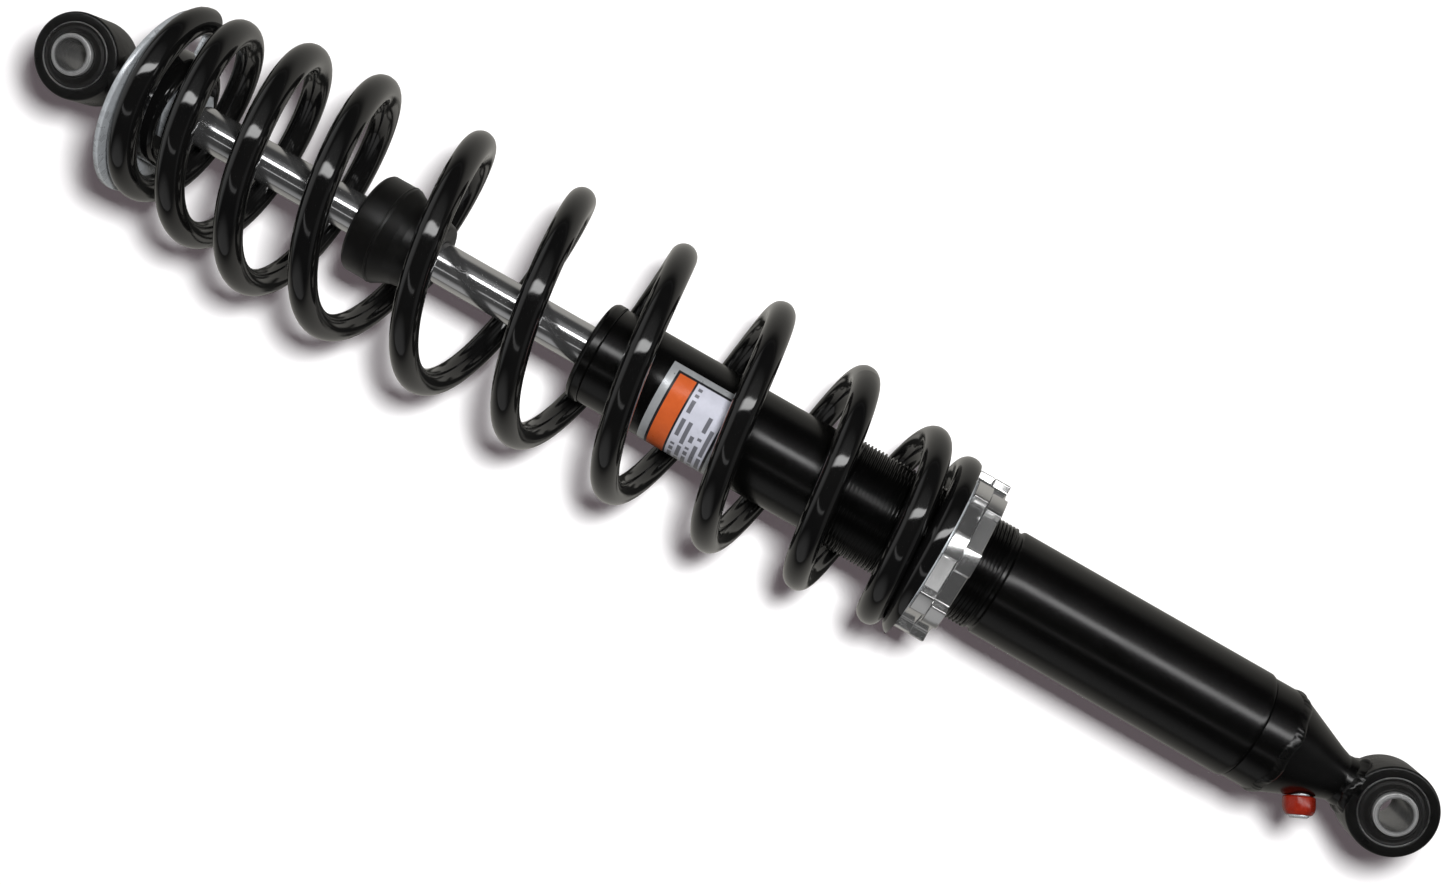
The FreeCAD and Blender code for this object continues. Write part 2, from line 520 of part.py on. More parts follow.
# ------------------------------------------------------------------ coil spring
# Right-hand barrel spring, close-wound at both ends and ground flat.  Each row
# gives the turn, how far the wire's centre lies below the upper eye, the radius
# of the wire's centre line and how far the coil sits to the +X side.  The outer
# form swells from the retainer to the middle and draws in again at the adjuster.
# The last half turn runs out below the washer, so its tip is ground thin.
ROWS = [
    (0, 36.0, 33.4, 2.2), (0.25, 39.6, 33.6, 2.1), (0.5, 41.5, 34.6, 1.9), (0.75, 43.6, 35.5, 1.8), (1, 50.3, 36.6, 1.6),
    (1.25, 61.4, 38.1, 1.5), (1.5, 68.3, 39.6, 1.4), (1.75, 70.9, 40.9, 1.3), (2, 78.1, 42.0, 1.3), (2.25, 89.8, 43.3, 1.3),
    (2.5, 97.0, 44.2, 1.3), (2.75, 99.9, 44.7, 1.3), (3, 107.5, 44.9, 1.4), (3.25, 120.4, 44.7, 1.5), (3.5, 131.7, 44.5, 1.5),
    (3.75, 140.1, 44.5, 1.6), (4, 150.3, 44.5, 1.7), (4.25, 162.9, 44.5, 1.8), (4.5, 174.2, 44.6, 1.9), (4.75, 183.6, 44.5, 2.0),
    (5, 194.0, 44.4, 2.1), (5.25, 205.4, 44.4, 2.2), (5.5, 216.4, 44.4, 2.3), (5.75, 227.1, 44.5, 2.3), (6, 237.6, 44.5, 2.4),
    (6.25, 247.7, 44.6, 2.4), (6.5, 258.2, 44.6, 2.4), (6.75, 269.4, 44.4, 2.3), (7, 279.9, 43.9, 2.3), (7.25, 289.0, 43.1, 2.3),
    (7.5, 298.6, 41.8, 2.1), (7.75, 309.0, 40.5, 1.9), (8, 318.7, 39.1, 1.7), (8.25, 326.6, 37.5, 1.5), (8.5, 334.3, 36.0, 1.1),
    (8.75, 343.6, 34.8, 0.7), (9, 352.6, 33.9, 0.3), (9.25, 358.6, 33.0, 0.0), (9.5, 363.2, 32.2, -0.3), (9.75, 366.3, 31.5, -0.5),
    (10, 368.4, 31.2, -0.7), (10.25, 369.6, 31.2, -0.7), (10.5, 373.9, 31.3, -0.7), (10.6, 375.6, 31.3, -0.7),
]


def smooth(rows, t, col):
    """Monotone cubic through the rows (Fritsch-Carlson)."""
    xs = [r[0] for r in rows]
    ys = [r[col] for r in rows]
    n = len(xs)
    d = [(ys[i + 1] - ys[i]) / (xs[i + 1] - xs[i]) for i in range(n - 1)]
    m = [d[0]] + [0.0 if d[i - 1] * d[i] <= 0 else 2 * d[i - 1] * d[i] / (d[i - 1] + d[i]) for i in range(1, n - 1)] + [d[-1]]
    k = 0
    while k < n - 2 and t > xs[k + 1]:
        k += 1
    w = xs[k + 1] - xs[k]
    s = (t - xs[k]) / w
    return ((2 * s ** 3 - 3 * s ** 2 + 1) * ys[k] + (s ** 3 - 2 * s ** 2 + s) * w * m[k]
            + (-2 * s ** 3 + 3 * s ** 2) * ys[k + 1] + (s ** 3 - s ** 2) * w * m[k + 1])


def wire_point(t):
    drop, rad, off = (smooth(ROWS, t, c) for c in (1, 2, 3))
    a = 2 * math.pi * t                     # turn 0 points to +X
    # the coil runs from +X towards -Y, then -X: right-hand going down
    return V(rad * math.cos(a) + off, -rad * math.sin(a), VAL["eye_span"] - drop)


STEPS = 16
T0, T1 = 0.0, 10.6
count = int(round((T1 - T0) * STEPS))
pts = [wire_point(T0 + (T1 - T0) * i / count) for i in range(count + 1)]
curve = Part.BSplineCurve()
curve.interpolate(pts)
path = Part.Wire([curve.toShape()])
tangent = curve.tangent(curve.FirstParameter)[0]
ring = Part.Wire([Part.Edge(Part.Circle(pts[0], tangent, VAL["wire_rad"]))])
wire = path.makePipeShell([ring], True, True)
keep_low, keep_up = VAL["washer_up"], VAL["plate_bot"] - 0.03
block = Part.makeBox(140, 140, keep_up - keep_low, V(-70, -70, keep_low))
ground = wire.common(block)
if ground.ShapeType != "Solid":
    ground = sorted(ground.Solids, key=lambda s_: s_.Volume)[-1]
spring = doc.addObject("Part::Feature", "coil_spring")
spring.Shape = ground
spring.Placement = FreeCAD.Placement()
spring.Label = "coil_spring"
PARTS.append(spring)

# ------------------------------------------------------------------ checks and export
doc.recompute()
bad = []
for o in doc.Objects:
    if "Invalid" in o.State or "Error" in o.State:
        bad.append("%s: %s" % (o.Name, o.State))
for o in PARTS:
    s_ = o.Shape
    if s_ is None or s_.isNull() or not s_.isValid():
        bad.append("%s: shape null or not valid" % o.Label)
    elif len(s_.Solids) != 1:
        bad.append("%s: %d solids" % (o.Label, len(s_.Solids)))
if bad:
    raise SystemExit("problems:\n" + "\n".join(bad))
os.makedirs("parts", exist_ok=True)
for o in PARTS:
    o.Shape.exportStep("parts/%s.step" % o.Label)
    bb_ = o.Shape.BoundBox
    print("%-24s vol %9.1f  x %6.1f..%6.1f  y %6.1f..%6.1f  z %6.1f..%6.1f"
          % (o.Label, o.Shape.Volume, bb_.XMin, bb_.XMax, bb_.YMin, bb_.YMax, bb_.ZMin, bb_.ZMax))
print("parts:", len(PARTS))
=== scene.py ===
import bpy, bmesh, math, json, random
import numpy as np
from mathutils import Matrix, Vector


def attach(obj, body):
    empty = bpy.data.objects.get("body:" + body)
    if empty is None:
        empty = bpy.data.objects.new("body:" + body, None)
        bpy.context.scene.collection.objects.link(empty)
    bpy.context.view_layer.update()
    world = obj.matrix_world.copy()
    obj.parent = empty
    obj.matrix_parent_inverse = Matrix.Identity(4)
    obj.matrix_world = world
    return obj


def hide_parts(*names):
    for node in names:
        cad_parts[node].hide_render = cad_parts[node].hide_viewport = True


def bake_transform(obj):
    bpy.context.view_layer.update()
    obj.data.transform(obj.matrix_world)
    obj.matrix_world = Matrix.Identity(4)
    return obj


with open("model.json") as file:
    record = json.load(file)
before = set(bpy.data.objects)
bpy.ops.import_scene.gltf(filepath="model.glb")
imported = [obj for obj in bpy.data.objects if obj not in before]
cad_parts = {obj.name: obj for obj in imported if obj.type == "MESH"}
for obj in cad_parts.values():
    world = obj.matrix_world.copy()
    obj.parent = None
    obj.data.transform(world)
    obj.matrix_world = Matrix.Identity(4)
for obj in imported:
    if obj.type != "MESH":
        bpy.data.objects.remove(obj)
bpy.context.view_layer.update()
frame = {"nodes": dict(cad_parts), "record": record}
NODES = frame["nodes"]
MM = 0.001
EYE = 560.0                      # eye to eye, mm
AIM = 7.5                        # turn of the label, ring nuts and valve about the axis, degrees

# ====================================================================== mesh helpers


def mesh_object(name, verts, faces, mat=None, angle=32.0):
    me = bpy.data.meshes.new(name)
    me.from_pydata([tuple(v) for v in verts], [], [tuple(f) for f in faces])
    me.validate(verbose=False)
    me.update()
    bm = bmesh.new()
    bm.from_mesh(me)
    bmesh.ops.remove_doubles(bm, verts=bm.verts, dist=1e-7)
    bmesh.ops.recalc_face_normals(bm, faces=bm.faces)
    bm.to_mesh(me)
    bm.free()
    me.shade_smooth()
    me.set_sharp_from_angle(angle=math.radians(angle))
    ob = bpy.data.objects.new(name, me)
    bpy.context.scene.collection.objects.link(ob)
    if mat:
        me.materials.append(mat)
    return ob


def rounded(outline, closed, steps=5):
    """Outline of (r, z) or (r, z, fillet) in mm; each corner with a fillet becomes an arc."""
    n = len(outline)
    out = []
    for i, p in enumerate(outline):
        f = p[2] if len(p) > 2 else 0.0
        if f <= 0 or (not closed and i in (0, n - 1)):
            out.append((p[0], p[1]))
            continue
        a, b = outline[i - 1], outline[(i + 1) % n]
        v = Vector((p[0], p[1]))
        u1, u2 = Vector((a[0], a[1])) - v, Vector((b[0], b[1])) - v
        l1, l2 = u1.length, u2.length
        if l1 < 1e-6 or l2 < 1e-6:
            out.append((p[0], p[1]))
            continue
        u1, u2 = u1 / l1, u2 / l2
        half = math.acos(max(-1, min(1, u1.dot(u2)))) / 2
        if half > math.pi / 2 - 0.02:
            out.append((p[0], p[1]))
            continue
        cut = min(f / math.tan(half), 0.48 * l1, 0.48 * l2)
        r = cut * math.tan(half)
        c = v + (u1 + u2).normalized() * (r / math.sin(half))
        s, e = v + u1 * cut, v + u2 * cut
        a0 = math.atan2(s.y - c.y, s.x - c.x)
        a1 = math.atan2(e.y - c.y, e.x - c.x)
        d = (a1 - a0 + math.pi) % (2 * math.pi) - math.pi
        for k in range(steps + 1):
            t = a0 + d * k / steps
            out.append((c.x + r * math.cos(t), c.y + r * math.sin(t)))
    return out


def lathe(name, outline, mat, closed=True, segs=128, axis="Z", centre=(0, 0, 0), steps=5, angle=32.0, wobble=None, place=None):
    """Turns an outline. closed: the outline is a loop off the axis; otherwise it starts and ends on the axis."""
    prof = rounded(outline, closed, steps)
    n = len(prof)
    verts, faces = [], []
    ring = []
    for r, z in prof:
        if not closed and r < 1e-6:
            ring.append([len(verts)])
            verts.append(Vector((0, 0, z)))
        else:
            idx = []
            for k in range(segs):
                t = 2 * math.pi * k / segs
                rr, zz = (r, z) if wobble is None else wobble(r, z, t)
                idx.append(len(verts))
                verts.append(Vector((rr * math.cos(t), rr * math.sin(t), zz)))
            ring.append(idx)
    pairs = [(i, i + 1) for i in range(n - 1)] + ([(n - 1, 0)] if closed else [])
    for i, j in pairs:
        A, B = ring[i], ring[j]
        if len(A) == 1 and len(B) == 1:
            continue
        for k in range(segs):
            m = (k + 1) % segs
            if len(A) == 1:
                faces.append((A[0], B[k], B[m]))
            elif len(B) == 1:
                faces.append((A[k], A[m], B[0]))
            else:
                faces.append((A[k], A[m], B[m], B[k]))
    if axis == "Y":
        # the turning axis becomes Y, with the outline's height along Y
        verts = [Vector((v.x, v.z, -v.y)) for v in verts]
    c = Vector(centre)
    verts = [(v + c) * MM for v in verts]
    if place is not None:
        verts = [place @ v for v in verts]
    return mesh_object(name, verts, faces, mat, angle)


def extrude_outline(name, loops, z0, z1, mat, bevel=0.4, segs=3, turn=0.0, angle=32.0):
    """Prism between z0 and z1 from an outer loop and holes, with bevelled edges. Loops are lists of (x, y) in mm."""
    bm = bmesh.new()
    all_edges = []
    for loop in loops:
        vs = [bm.verts.new((x * MM, y * MM, z0 * MM)) for x, y in loop]
        es = [bm.edges.new((vs[i], vs[(i + 1) % len(vs)])) for i in range(len(vs))]
        all_edges += es
    bmesh.ops.triangle_fill(bm, use_beauty=True, use_dissolve=True, edges=all_edges)
    faces = list(bm.faces)
    ext = bmesh.ops.extrude_face_region(bm, geom=faces)
    moved = [g for g in ext["geom"] if isinstance(g, bmesh.types.BMVert)]
    bmesh.ops.translate(bm, verts=moved, vec=(0, 0, (z1 - z0) * MM))
    bmesh.ops.recalc_face_normals(bm, faces=bm.faces)
    if turn:
        bmesh.ops.rotate(bm, verts=bm.verts, cent=(0, 0, 0), matrix=Matrix.Rotation(math.radians(turn), 3, "Z"))
    sharp = [e for e in bm.edges if len(e.link_faces) == 2 and e.calc_face_angle(0) > math.radians(35)]
    if bevel:
        bmesh.ops.bevel(bm, geom=sharp, offset=bevel * MM, offset_type="OFFSET", segments=segs, profile=0.5, affect="EDGES", clamp_overlap=True)
    me = bpy.data.meshes.new(name)
    bm.to_mesh(me)
    bm.free()
    me.shade_smooth()
    me.set_sharp_from_angle(angle=math.radians(angle))
    ob = bpy.data.objects.new(name, me)
    bpy.context.scene.collection.objects.link(ob)
    me.materials.append(mat)
    return ob


def boolean(ob, other, how):
    m = ob.modifiers.new("b", "BOOLEAN")
    m.operation = how
    m.object = other
    m.solver = "EXACT"
    bpy.context.view_layer.update()
    dg = bpy.context.evaluated_depsgraph_get()
    me = bpy.data.meshes.new_from_object(ob.evaluated_get(dg))
    ob.modifiers.clear()
    old = ob.data
    ob.data = me
    bpy.data.meshes.remove(old)
    bpy.data.objects.remove(other)
    ob.data.shade_smooth()
    ob.data.set_sharp_from_angle(angle=math.radians(32))
    return ob


# ====================================================================== materials
# Every material is procedural, in object coordinates (metres).


class Graph:
    def __init__(self, name):
        self.m = bpy.data.materials.new(name)
        self.m.use_nodes = True
        self.t = self.m.node_tree
        self.t.nodes.clear()
        self.out = self.t.nodes.new("ShaderNodeOutputMaterial")
        self.p = self.t.nodes.new("ShaderNodeBsdfPrincipled")
        self.t.links.new(self.p.outputs[0], self.out.inputs[0])
        self.co = self.t.nodes.new("ShaderNodeTexCoord").outputs["Object"]

    def set(self, **kw):
        for k, v in kw.items():
            s = self.p.inputs[k.replace("_", " ")]
            s.default_value = v
        return self

    def link(self, out, name):
        self.t.links.new(out, self.p.inputs[name])

    def node(self, kind, **kw):
        n = self.t.nodes.new(kind)
        for k, v in kw.items():
            setattr(n, k, v)
        return n

    def mapping(self, scale=(1, 1, 1), loc=(0, 0, 0), src=None):
        n = self.node("ShaderNodeMapping")
        n.inputs["Scale"].default_value = scale
        n.inputs["Location"].default_value = loc
        self.t.links.new(src or self.co, n.inputs["Vector"])
        return n.outputs[0]

    def noise(self, scale, detail=3.0, rough=0.5, src=None, distort=0.0):
        n = self.node("ShaderNodeTexNoise")
        n.inputs["Scale"].default_value = scale
        n.inputs["Detail"].default_value = detail
        n.inputs["Roughness"].default_value = rough
        n.inputs["Distortion"].default_value = distort
        self.t.links.new(src or self.co, n.inputs["Vector"])
        return n.outputs["Fac"]

    def voronoi(self, scale, src=None, feature="F1", out="Distance"):
        n = self.node("ShaderNodeTexVoronoi", feature=feature)
        n.inputs["Scale"].default_value = scale
        self.t.links.new(src or self.co, n.inputs["Vector"])
        return n.outputs[out]

    def ramp(self, src, stops, interp="LINEAR"):
        n = self.node("ShaderNodeValToRGB")
        e = n.color_ramp.elements
        n.color_ramp.interpolation = interp
        while len(e) < len(stops):
            e.new(0.5)
        for i, (pos, col) in enumerate(stops):
            e[i].position = pos
            e[i].color = (col, col, col, 1) if not hasattr(col, "__len__") else (*col[:3], 1)
        self.t.links.new(src, n.inputs[0])
        return n.outputs[0]

    def range(self, src, a, b, c, d):
        n = self.node("ShaderNodeMapRange")
        n.inputs["From Min"].default_value = a
        n.inputs["From Max"].default_value = b
        n.inputs["To Min"].default_value = c
        n.inputs["To Max"].default_value = d
        self.t.links.new(src, n.inputs["Value"])
        return n.outputs[0]

    def math(self, op, a, b=None, c=None):
        n = self.node("ShaderNodeMath", operation=op)
        for i, x in enumerate((a, b, c)):
            if x is None:
                continue
            if isinstance(x, (int, float)):
                n.inputs[i].default_value = x
            else:
                self.t.links.new(x, n.inputs[i])
        return n.outputs[0]

    def mix(self, fac, a, b):
        n = self.node("ShaderNodeMix", data_type="RGBA")
        for key, x in (("Factor", fac), ("A", a), ("B", b)):
            s = [i for i in n.inputs if i.name == key and (i.type == ("VALUE" if key == "Factor" else "RGBA"))][0]
            if isinstance(x, (int, float)):
                s.default_value = x
            elif hasattr(x, "__len__"):
                s.default_value = (*x[:3], 1)
            else:
                self.t.links.new(x, s)
        return [o for o in n.outputs if o.type == "RGBA"][0]

    def bump(self, height, strength=0.2, dist=0.0002, prev=None):
        n = self.node("ShaderNodeBump")
        n.inputs["Strength"].default_value = strength
        n.inputs["Distance"].default_value = dist
        self.t.links.new(height, n.inputs["Height"])
        if prev is not None:
            self.t.links.new(prev, n.inputs["Normal"])
        return n.outputs[0]

    def xyz(self, src=None):
        n = self.node("ShaderNodeSeparateXYZ")
        self.t.links.new(src or self.co, n.inputs[0])
        return n.outputs

    def normal(self, out):
        self.t.links.new(out, self.p.inputs["Normal"])


def powder_gloss(name, base=0.0045, rough=(0.07, 0.15), peel=0.10):
    g = Graph(name)
    n1 = g.noise(55, 3, 0.55)
    col = g.ramp(n1, [(0.3, (base, base, base * 1.05)), (0.75, (base * 1.7, base * 1.65, base * 1.6))])
    g.link(col, "Base Color")
    g.link(g.range(g.noise(140, 4, 0.6), 0.3, 0.7, rough[0], rough[1]), "Roughness")
    g.set(IOR=1.52, Coat_Weight=0.55, Coat_Roughness=0.05, Coat_IOR=1.5)
    b = g.bump(g.noise(620, 2, 0.4), peel, 0.00012)
    b = g.bump(g.noise(5200, 2, 0.5), 0.03, 0.00004, b)
    g.normal(b)
    return g.m


def satin_black(name, base=0.0075, rough=(0.30, 0.42), grain=0.12, cast=False):
    g = Graph(name)
    n1 = g.noise(38, 4, 0.6)
    c1 = g.ramp(n1, [(0.3, (base, base, base)), (0.8, (base * 1.6, base * 1.55, base * 1.45))])
    dust = g.math("MULTIPLY", g.math("GREATER_THAN", g.noise(900, 4, 0.7), 0.71), 0.5)
    col = g.mix(dust, c1, (base * 3.2, base * 3.0, base * 2.8))
    g.link(col, "Base Color")
    g.link(g.range(g.noise(90, 5, 0.62), 0.3, 0.72, rough[0], rough[1]), "Roughness")
    g.set(IOR=1.5)
    b = g.bump(g.noise(2300, 3, 0.55), grain, 0.00005)
    b = g.bump(g.noise(420 if not cast else 260, 3, 0.5), 0.10 if not cast else 0.45, 0.00012 if not cast else 0.00035, b)
    g.normal(b)
    return g.m


def rubber(name, base=0.012, rough=(0.52, 0.68), lines=False):
    g = Graph(name)
    n1 = g.noise(70, 4, 0.6)
    col = g.ramp(n1, [(0.25, (base * 0.8,) * 3), (0.8, (base * 1.7, base * 1.6, base * 1.5))])
    bloom = g.ramp(g.noise(23, 5, 0.7), [(0.52, 0.0), (0.78, 0.35)])
    col = g.mix(bloom, col, (base * 3.0, base * 2.9, base * 2.8))
    g.link(col, "Base Color")
    g.link(g.range(g.noise(160, 4, 0.6), 0.3, 0.7, rough[0], rough[1]), "Roughness")
    g.set(IOR=1.5, Sheen_Weight=0.02, Sheen_Roughness=0.5)
    b = g.bump(g.noise(1800, 4, 0.6), 0.20, 0.00006)
    b = g.bump(g.voronoi(700), 0.06, 0.00008, b)
    g.normal(b)
    return g.m


def turned_metal(name, base, rough, ring_scale=5200.0, ring=0.10, axis="Z", centre=0.0, metallic=1.0, stain=0.12, tint=(1, 1, 1),
                 bore=None):
    """Machined metal: concentric tool marks about the turning axis, faint stains and fine scratches."""
    g = Graph(name)
    x, y, z = g.xyz()
    a, b_, c = (x, y, z) if axis == "Z" else (x, z, y)
    if centre:
        b_ = g.math("SUBTRACT", b_, centre)
    rad = g.math("SQRT", g.math("ADD", g.math("MULTIPLY", a, a), g.math("MULTIPLY", b_, b_)))
    comb = g.node("ShaderNodeCombineXYZ")
    g.t.links.new(rad, comb.inputs[0])
    g.t.links.new(c, comb.inputs[1])
    marks = g.noise(ring_scale, 2, 0.7, src=comb.outputs[0])
    wide = g.noise(ring_scale * 0.18, 2, 0.5, src=comb.outputs[0])
    cloud = g.noise(60, 4, 0.6)
    dark = tuple(base * (1 - stain * 1.6) * t for t in tint)
    light = tuple(min(1.0, base * (1 + stain * 0.4)) * t for t in tint)
    col = g.ramp(cloud, [(0.28, dark), (0.62, light)])
    if bore:                                # painted shade: colour inside the bore radius is darkened to 40 %, standing in for the shade in the hollow
        painted_bore_shade = g.node("ShaderNodeVectorMath")
        painted_bore_shade.operation = "SCALE"
        g.t.links.new(col, painted_bore_shade.inputs[0])
        g.t.links.new(g.range(rad, bore, bore + 0.0003, 0.40, 1.0), painted_bore_shade.inputs["Scale"])
        col = painted_bore_shade.outputs[0]
    g.link(col, "Base Color")
    rr = g.math("ADD", g.range(marks, 0.3, 0.7, rough[0], rough[1]), g.range(cloud, 0.35, 0.75, 0.0, 0.06))
    g.link(rr, "Roughness")
    g.set(Metallic=metallic)
    bb = g.bump(marks, ring, 0.00006)
    bb = g.bump(wide, ring * 0.7, 0.00010, bb)
    scr = g.noise(380, 3, 0.75, src=g.mapping((1.0, 0.06, 1.0)))
    bb = g.bump(g.ramp(scr, [(0.60, 0.0), (0.64, 1.0)]), 0.02, 0.00003, bb)
    g.normal(bb)
    return g.m


def chrome(name):
    g = Graph(name)
    x, y, z = g.xyz()
    comb = g.node("ShaderNodeCombineXYZ")
    g.t.links.new(z, comb.inputs[0])
    rings = g.noise(9000, 2, 0.6, src=comb.outputs[0])
    smear = g.noise(26, 4, 0.55, src=g.mapping((1, 1, 0.35)))
    col = g.ramp(smear, [(0.3, (0.73, 0.735, 0.75)), (0.7, (0.82, 0.82, 0.825))])
    g.link(col, "Base Color")
    g.link(g.math("ADD", g.range(smear, 0.35, 0.75, 0.09, 0.125), g.range(rings, 0.3, 0.7, 0.0, 0.03)), "Roughness")
    g.set(Metallic=0.965)
    g.normal(g.bump(rings, 0.03, 0.00002))
    return g.m


def zinc(name, base=(0.60, 0.63, 0.66)):
    """Bright zinc plating over pressed steel: faint crystalline mottling, a cool tint, soft wear."""
    g = Graph(name)
    cells = g.voronoi(330, out="Color")
    tone = g.node("ShaderNodeRGBToBW")
    g.t.links.new(cells, tone.inputs[0])
    mott = g.math("ADD", g.math("MULTIPLY", tone.outputs[0], 0.35), g.math("MULTIPLY", g.noise(120, 5, 0.65), 0.65))
    col = g.ramp(mott, [(0.25, tuple(c * 0.72 for c in base)), (0.55, base), (0.8, tuple(min(1, c * 1.15) for c in base))])
    g.link(col, "Base Color")
    g.link(g.range(mott, 0.25, 0.75, 0.20, 0.40), "Roughness")
    g.set(Metallic=0.50)
    b = g.bump(g.noise(900, 4, 0.6), 0.08, 0.00006)
    b = g.bump(g.noise(160, 3, 0.5), 0.10, 0.0002, b)
    g.normal(b)
    return g.m


def red_plastic(name):
    g = Graph(name)
    n1 = g.noise(190, 4, 0.6)
    col = g.ramp(n1, [(0.3, (0.150, 0.009, 0.004)), (0.7, (0.235, 0.016, 0.006))])
    g.link(col, "Base Color")
    g.link(g.range(g.noise(420, 3, 0.6), 0.3, 0.7, 0.20, 0.34), "Roughness")
    g.set(IOR=1.49, Subsurface_Weight=0.06, Subsurface_Radius=(0.0012, 0.0004, 0.0003))
    g.normal(g.bump(g.noise(900, 3, 0.5), 0.10, 0.00008))
    return g.m


def label_material(name):
    """Printed film. Height runs along the tube and angle round it; silver edge, thin black frame, orange band, pale panel with plain bars."""
    g = Graph(name)
    x, y, z = g.xyz()
    # arc length in mm from the label's upper edge (towards +X), measured round the front to the -X side
    ang = g.math("ARCTAN2", x, g.math("MULTIPLY", y, -1.0))     # 0 at -Y, + towards +X
    ang = g.math("SUBTRACT", math.radians(34.0 + AIM), ang)           # 0 at the top edge
    ang = g.math("MODULO", g.math("ADD", ang, 4 * math.pi), 2 * math.pi)
    arc = g.math("MULTIPLY", ang, 19.8)
    h = g.math("SUBTRACT", 304.7, g.math("MULTIPLY", z, 1000.0))   # mm from the rod-side edge, 0..30.7

    def band(v, a, b):
        return g.math("MULTIPLY", g.math("GREATER_THAN", v, a), g.math("LESS_THAN", v, b))

    total = 184.0 * math.pi / 180 * 19.8
    inside = g.math("MULTIPLY", band(h, 3.1, 27.6), band(arc, 2.5, total - 2.5))
    inner = g.math("MULTIPLY", band(h, 4.1, 26.6), band(arc, 3.5, total - 3.5))
    orange = g.math("MULTIPLY", inner, band(h, 4.1, 11.0))
    rule = g.math("MULTIPLY", inner, band(h, 11.0, 11.8))
    panel = g.math("MULTIPLY", inner, band(h, 11.8, 26.6))
    # bars in place of the printed notice: short dashes of uneven length in five rows
    bars = None
    rows = [(12.9, 5.0, 1.25, 3), (15.8, 17.5, 1.25, 7), (18.6, 22.0, 1.25, 12), (21.4, 12.5, 1.25, 19), (24.2, 16.5, 1.25, 27)]
    for hh, start, w, seed in rows:
        row = g.math("MULTIPLY", band(h, hh, hh + w * 1.3), band(arc, start, total - 5.0))
        c = g.node("ShaderNodeCombineXYZ")
        g.t.links.new(g.math("FLOOR", g.math("MULTIPLY", arc, 1 / 1.25)), c.inputs[0])
        c.inputs[1].default_value = seed * 3.7
        w_ = g.node("ShaderNodeTexWhiteNoise", noise_dimensions="2D")
        g.t.links.new(c.outputs[0], w_.inputs["Vector"])
        gap = g.math("GREATER_THAN", w_.outputs["Value"], 0.17)
        piece = g.math("MULTIPLY", row, gap)
        bars = piece if bars is None else g.math("MAXIMUM", bars, piece)
    blotch = g.noise(210, 4, 0.6)
    silver = g.ramp(blotch, [(0.3, (0.40, 0.415, 0.43)), (0.7, (0.50, 0.515, 0.53))])
    white = g.ramp(blotch, [(0.3, (0.40, 0.405, 0.46)), (0.7, (0.46, 0.465, 0.53))])
    org = g.ramp(blotch, [(0.3, (0.40, 0.072, 0.018)), (0.7, (0.47, 0.090, 0.022))])
    ink = (0.012, 0.012, 0.014)
    col = g.mix(inside, silver, ink)
    col = g.mix(orange, col, org)
    col = g.mix(rule, col, ink)
    col = g.mix(panel, col, white)
    col = g.mix(g.math("MULTIPLY", panel, g.math("MULTIPLY", bars, 0.80)), col, (0.03, 0.03, 0.035))
    g.link(col, "Base Color")
    g.link(g.math("MULTIPLY", g.math("SUBTRACT", 1.0, inside), 0.55), "Metallic")
    g.link(g.range(g.noise(300, 4, 0.6), 0.3, 0.7, 0.26, 0.38), "Roughness")
    g.set(IOR=1.46)
    b = g.bump(g.noise(350, 3, 0.5), 0.05, 0.0001)
    b = g.bump(g.math("MAXIMUM", bars, g.math("SUBTRACT", inside, inner)), 0.15, 0.00002, b)
    g.normal(b)
    return g.m


M = {
    "spring_gloss": powder_gloss("spring_gloss", 0.0026, (0.06, 0.11), 0.07),
    "black_gloss": powder_gloss("black_gloss", 0.002, (0.07, 0.14), 0.14),
    "black_satin": satin_black("black_satin", 0.0010, (0.19, 0.25), 0.07),
    "black_steel": satin_black("black_steel", 0.0022, (0.26, 0.36), 0.14, cast=True),
    "weld_black": satin_black("weld_black", 0.0018, (0.20, 0.30), 0.14, cast=True),
    "bush_shell": turned_metal("bush_shell", 0.34, (0.28, 0.42), axis="Y", ring=0.08),
    "bush_rubber": rubber("bush_rubber", 0.0035),
    # bore=0.0063 paints shade into the sleeves' bores
    "steel_sleeve": turned_metal("steel_sleeve", 0.56, (0.20, 0.34), axis="Y", ring=0.12, metallic=0.72, bore=0.0063),
    "steel_sleeve_up": turned_metal("steel_sleeve_up", 0.56, (0.20, 0.34), axis="Y", centre=0.56, ring=0.12, metallic=0.72, bore=0.0063),
    "bush_shell_up": turned_metal("bush_shell_up", 0.34, (0.28, 0.42), axis="Y", centre=0.56, ring=0.08),
    "zinc_plate": zinc("zinc_plate"),
    "chrome_rod": chrome("chrome_rod"),
    "bump_rubber": rubber("bump_rubber", 0.0020, (0.33, 0.42)),
    "seal_rubber": rubber("seal_rubber", 0.016),
    "machined_aluminium": turned_metal("machined_aluminium", 0.92, (0.10, 0.15), ring=0.02, stain=0.015, metallic=0.96),
    "bearing_bronze": turned_metal("bearing_bronze", 0.62, (0.25, 0.4), tint=(0.95, 0.72, 0.42)),
    "label_film": label_material("label_film"),
    "red_cap": red_plastic("red_cap"),
    "inner_steel": turned_metal("inner_steel", 0.5, (0.2, 0.35)),
    "glide_band": rubber("glide_band", 0.09, (0.5, 0.6)),
}
SLOT_OF = {s["node"]: s["material_slot"] for s in frame["record"]["subparts"]}
for n, ob in NODES.items():
    ob.data.materials.clear()
    ob.data.materials.append(M[SLOT_OF[n]])
    ob.data.shade_smooth()
    ob.data.set_sharp_from_angle(angle=math.radians(30))
BODY_OF = {}
for b, members in frame["record"]["behaviour"]["bodies"].items():
    for n in members:
        BODY_OF[n] = b


def settle(ob, node, *also, slot=None):
    """The piece stands for the node and moves with its body; the node's own mesh is hidden."""
    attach(ob, BODY_OF[node])
    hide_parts(node, *also)
    return ob


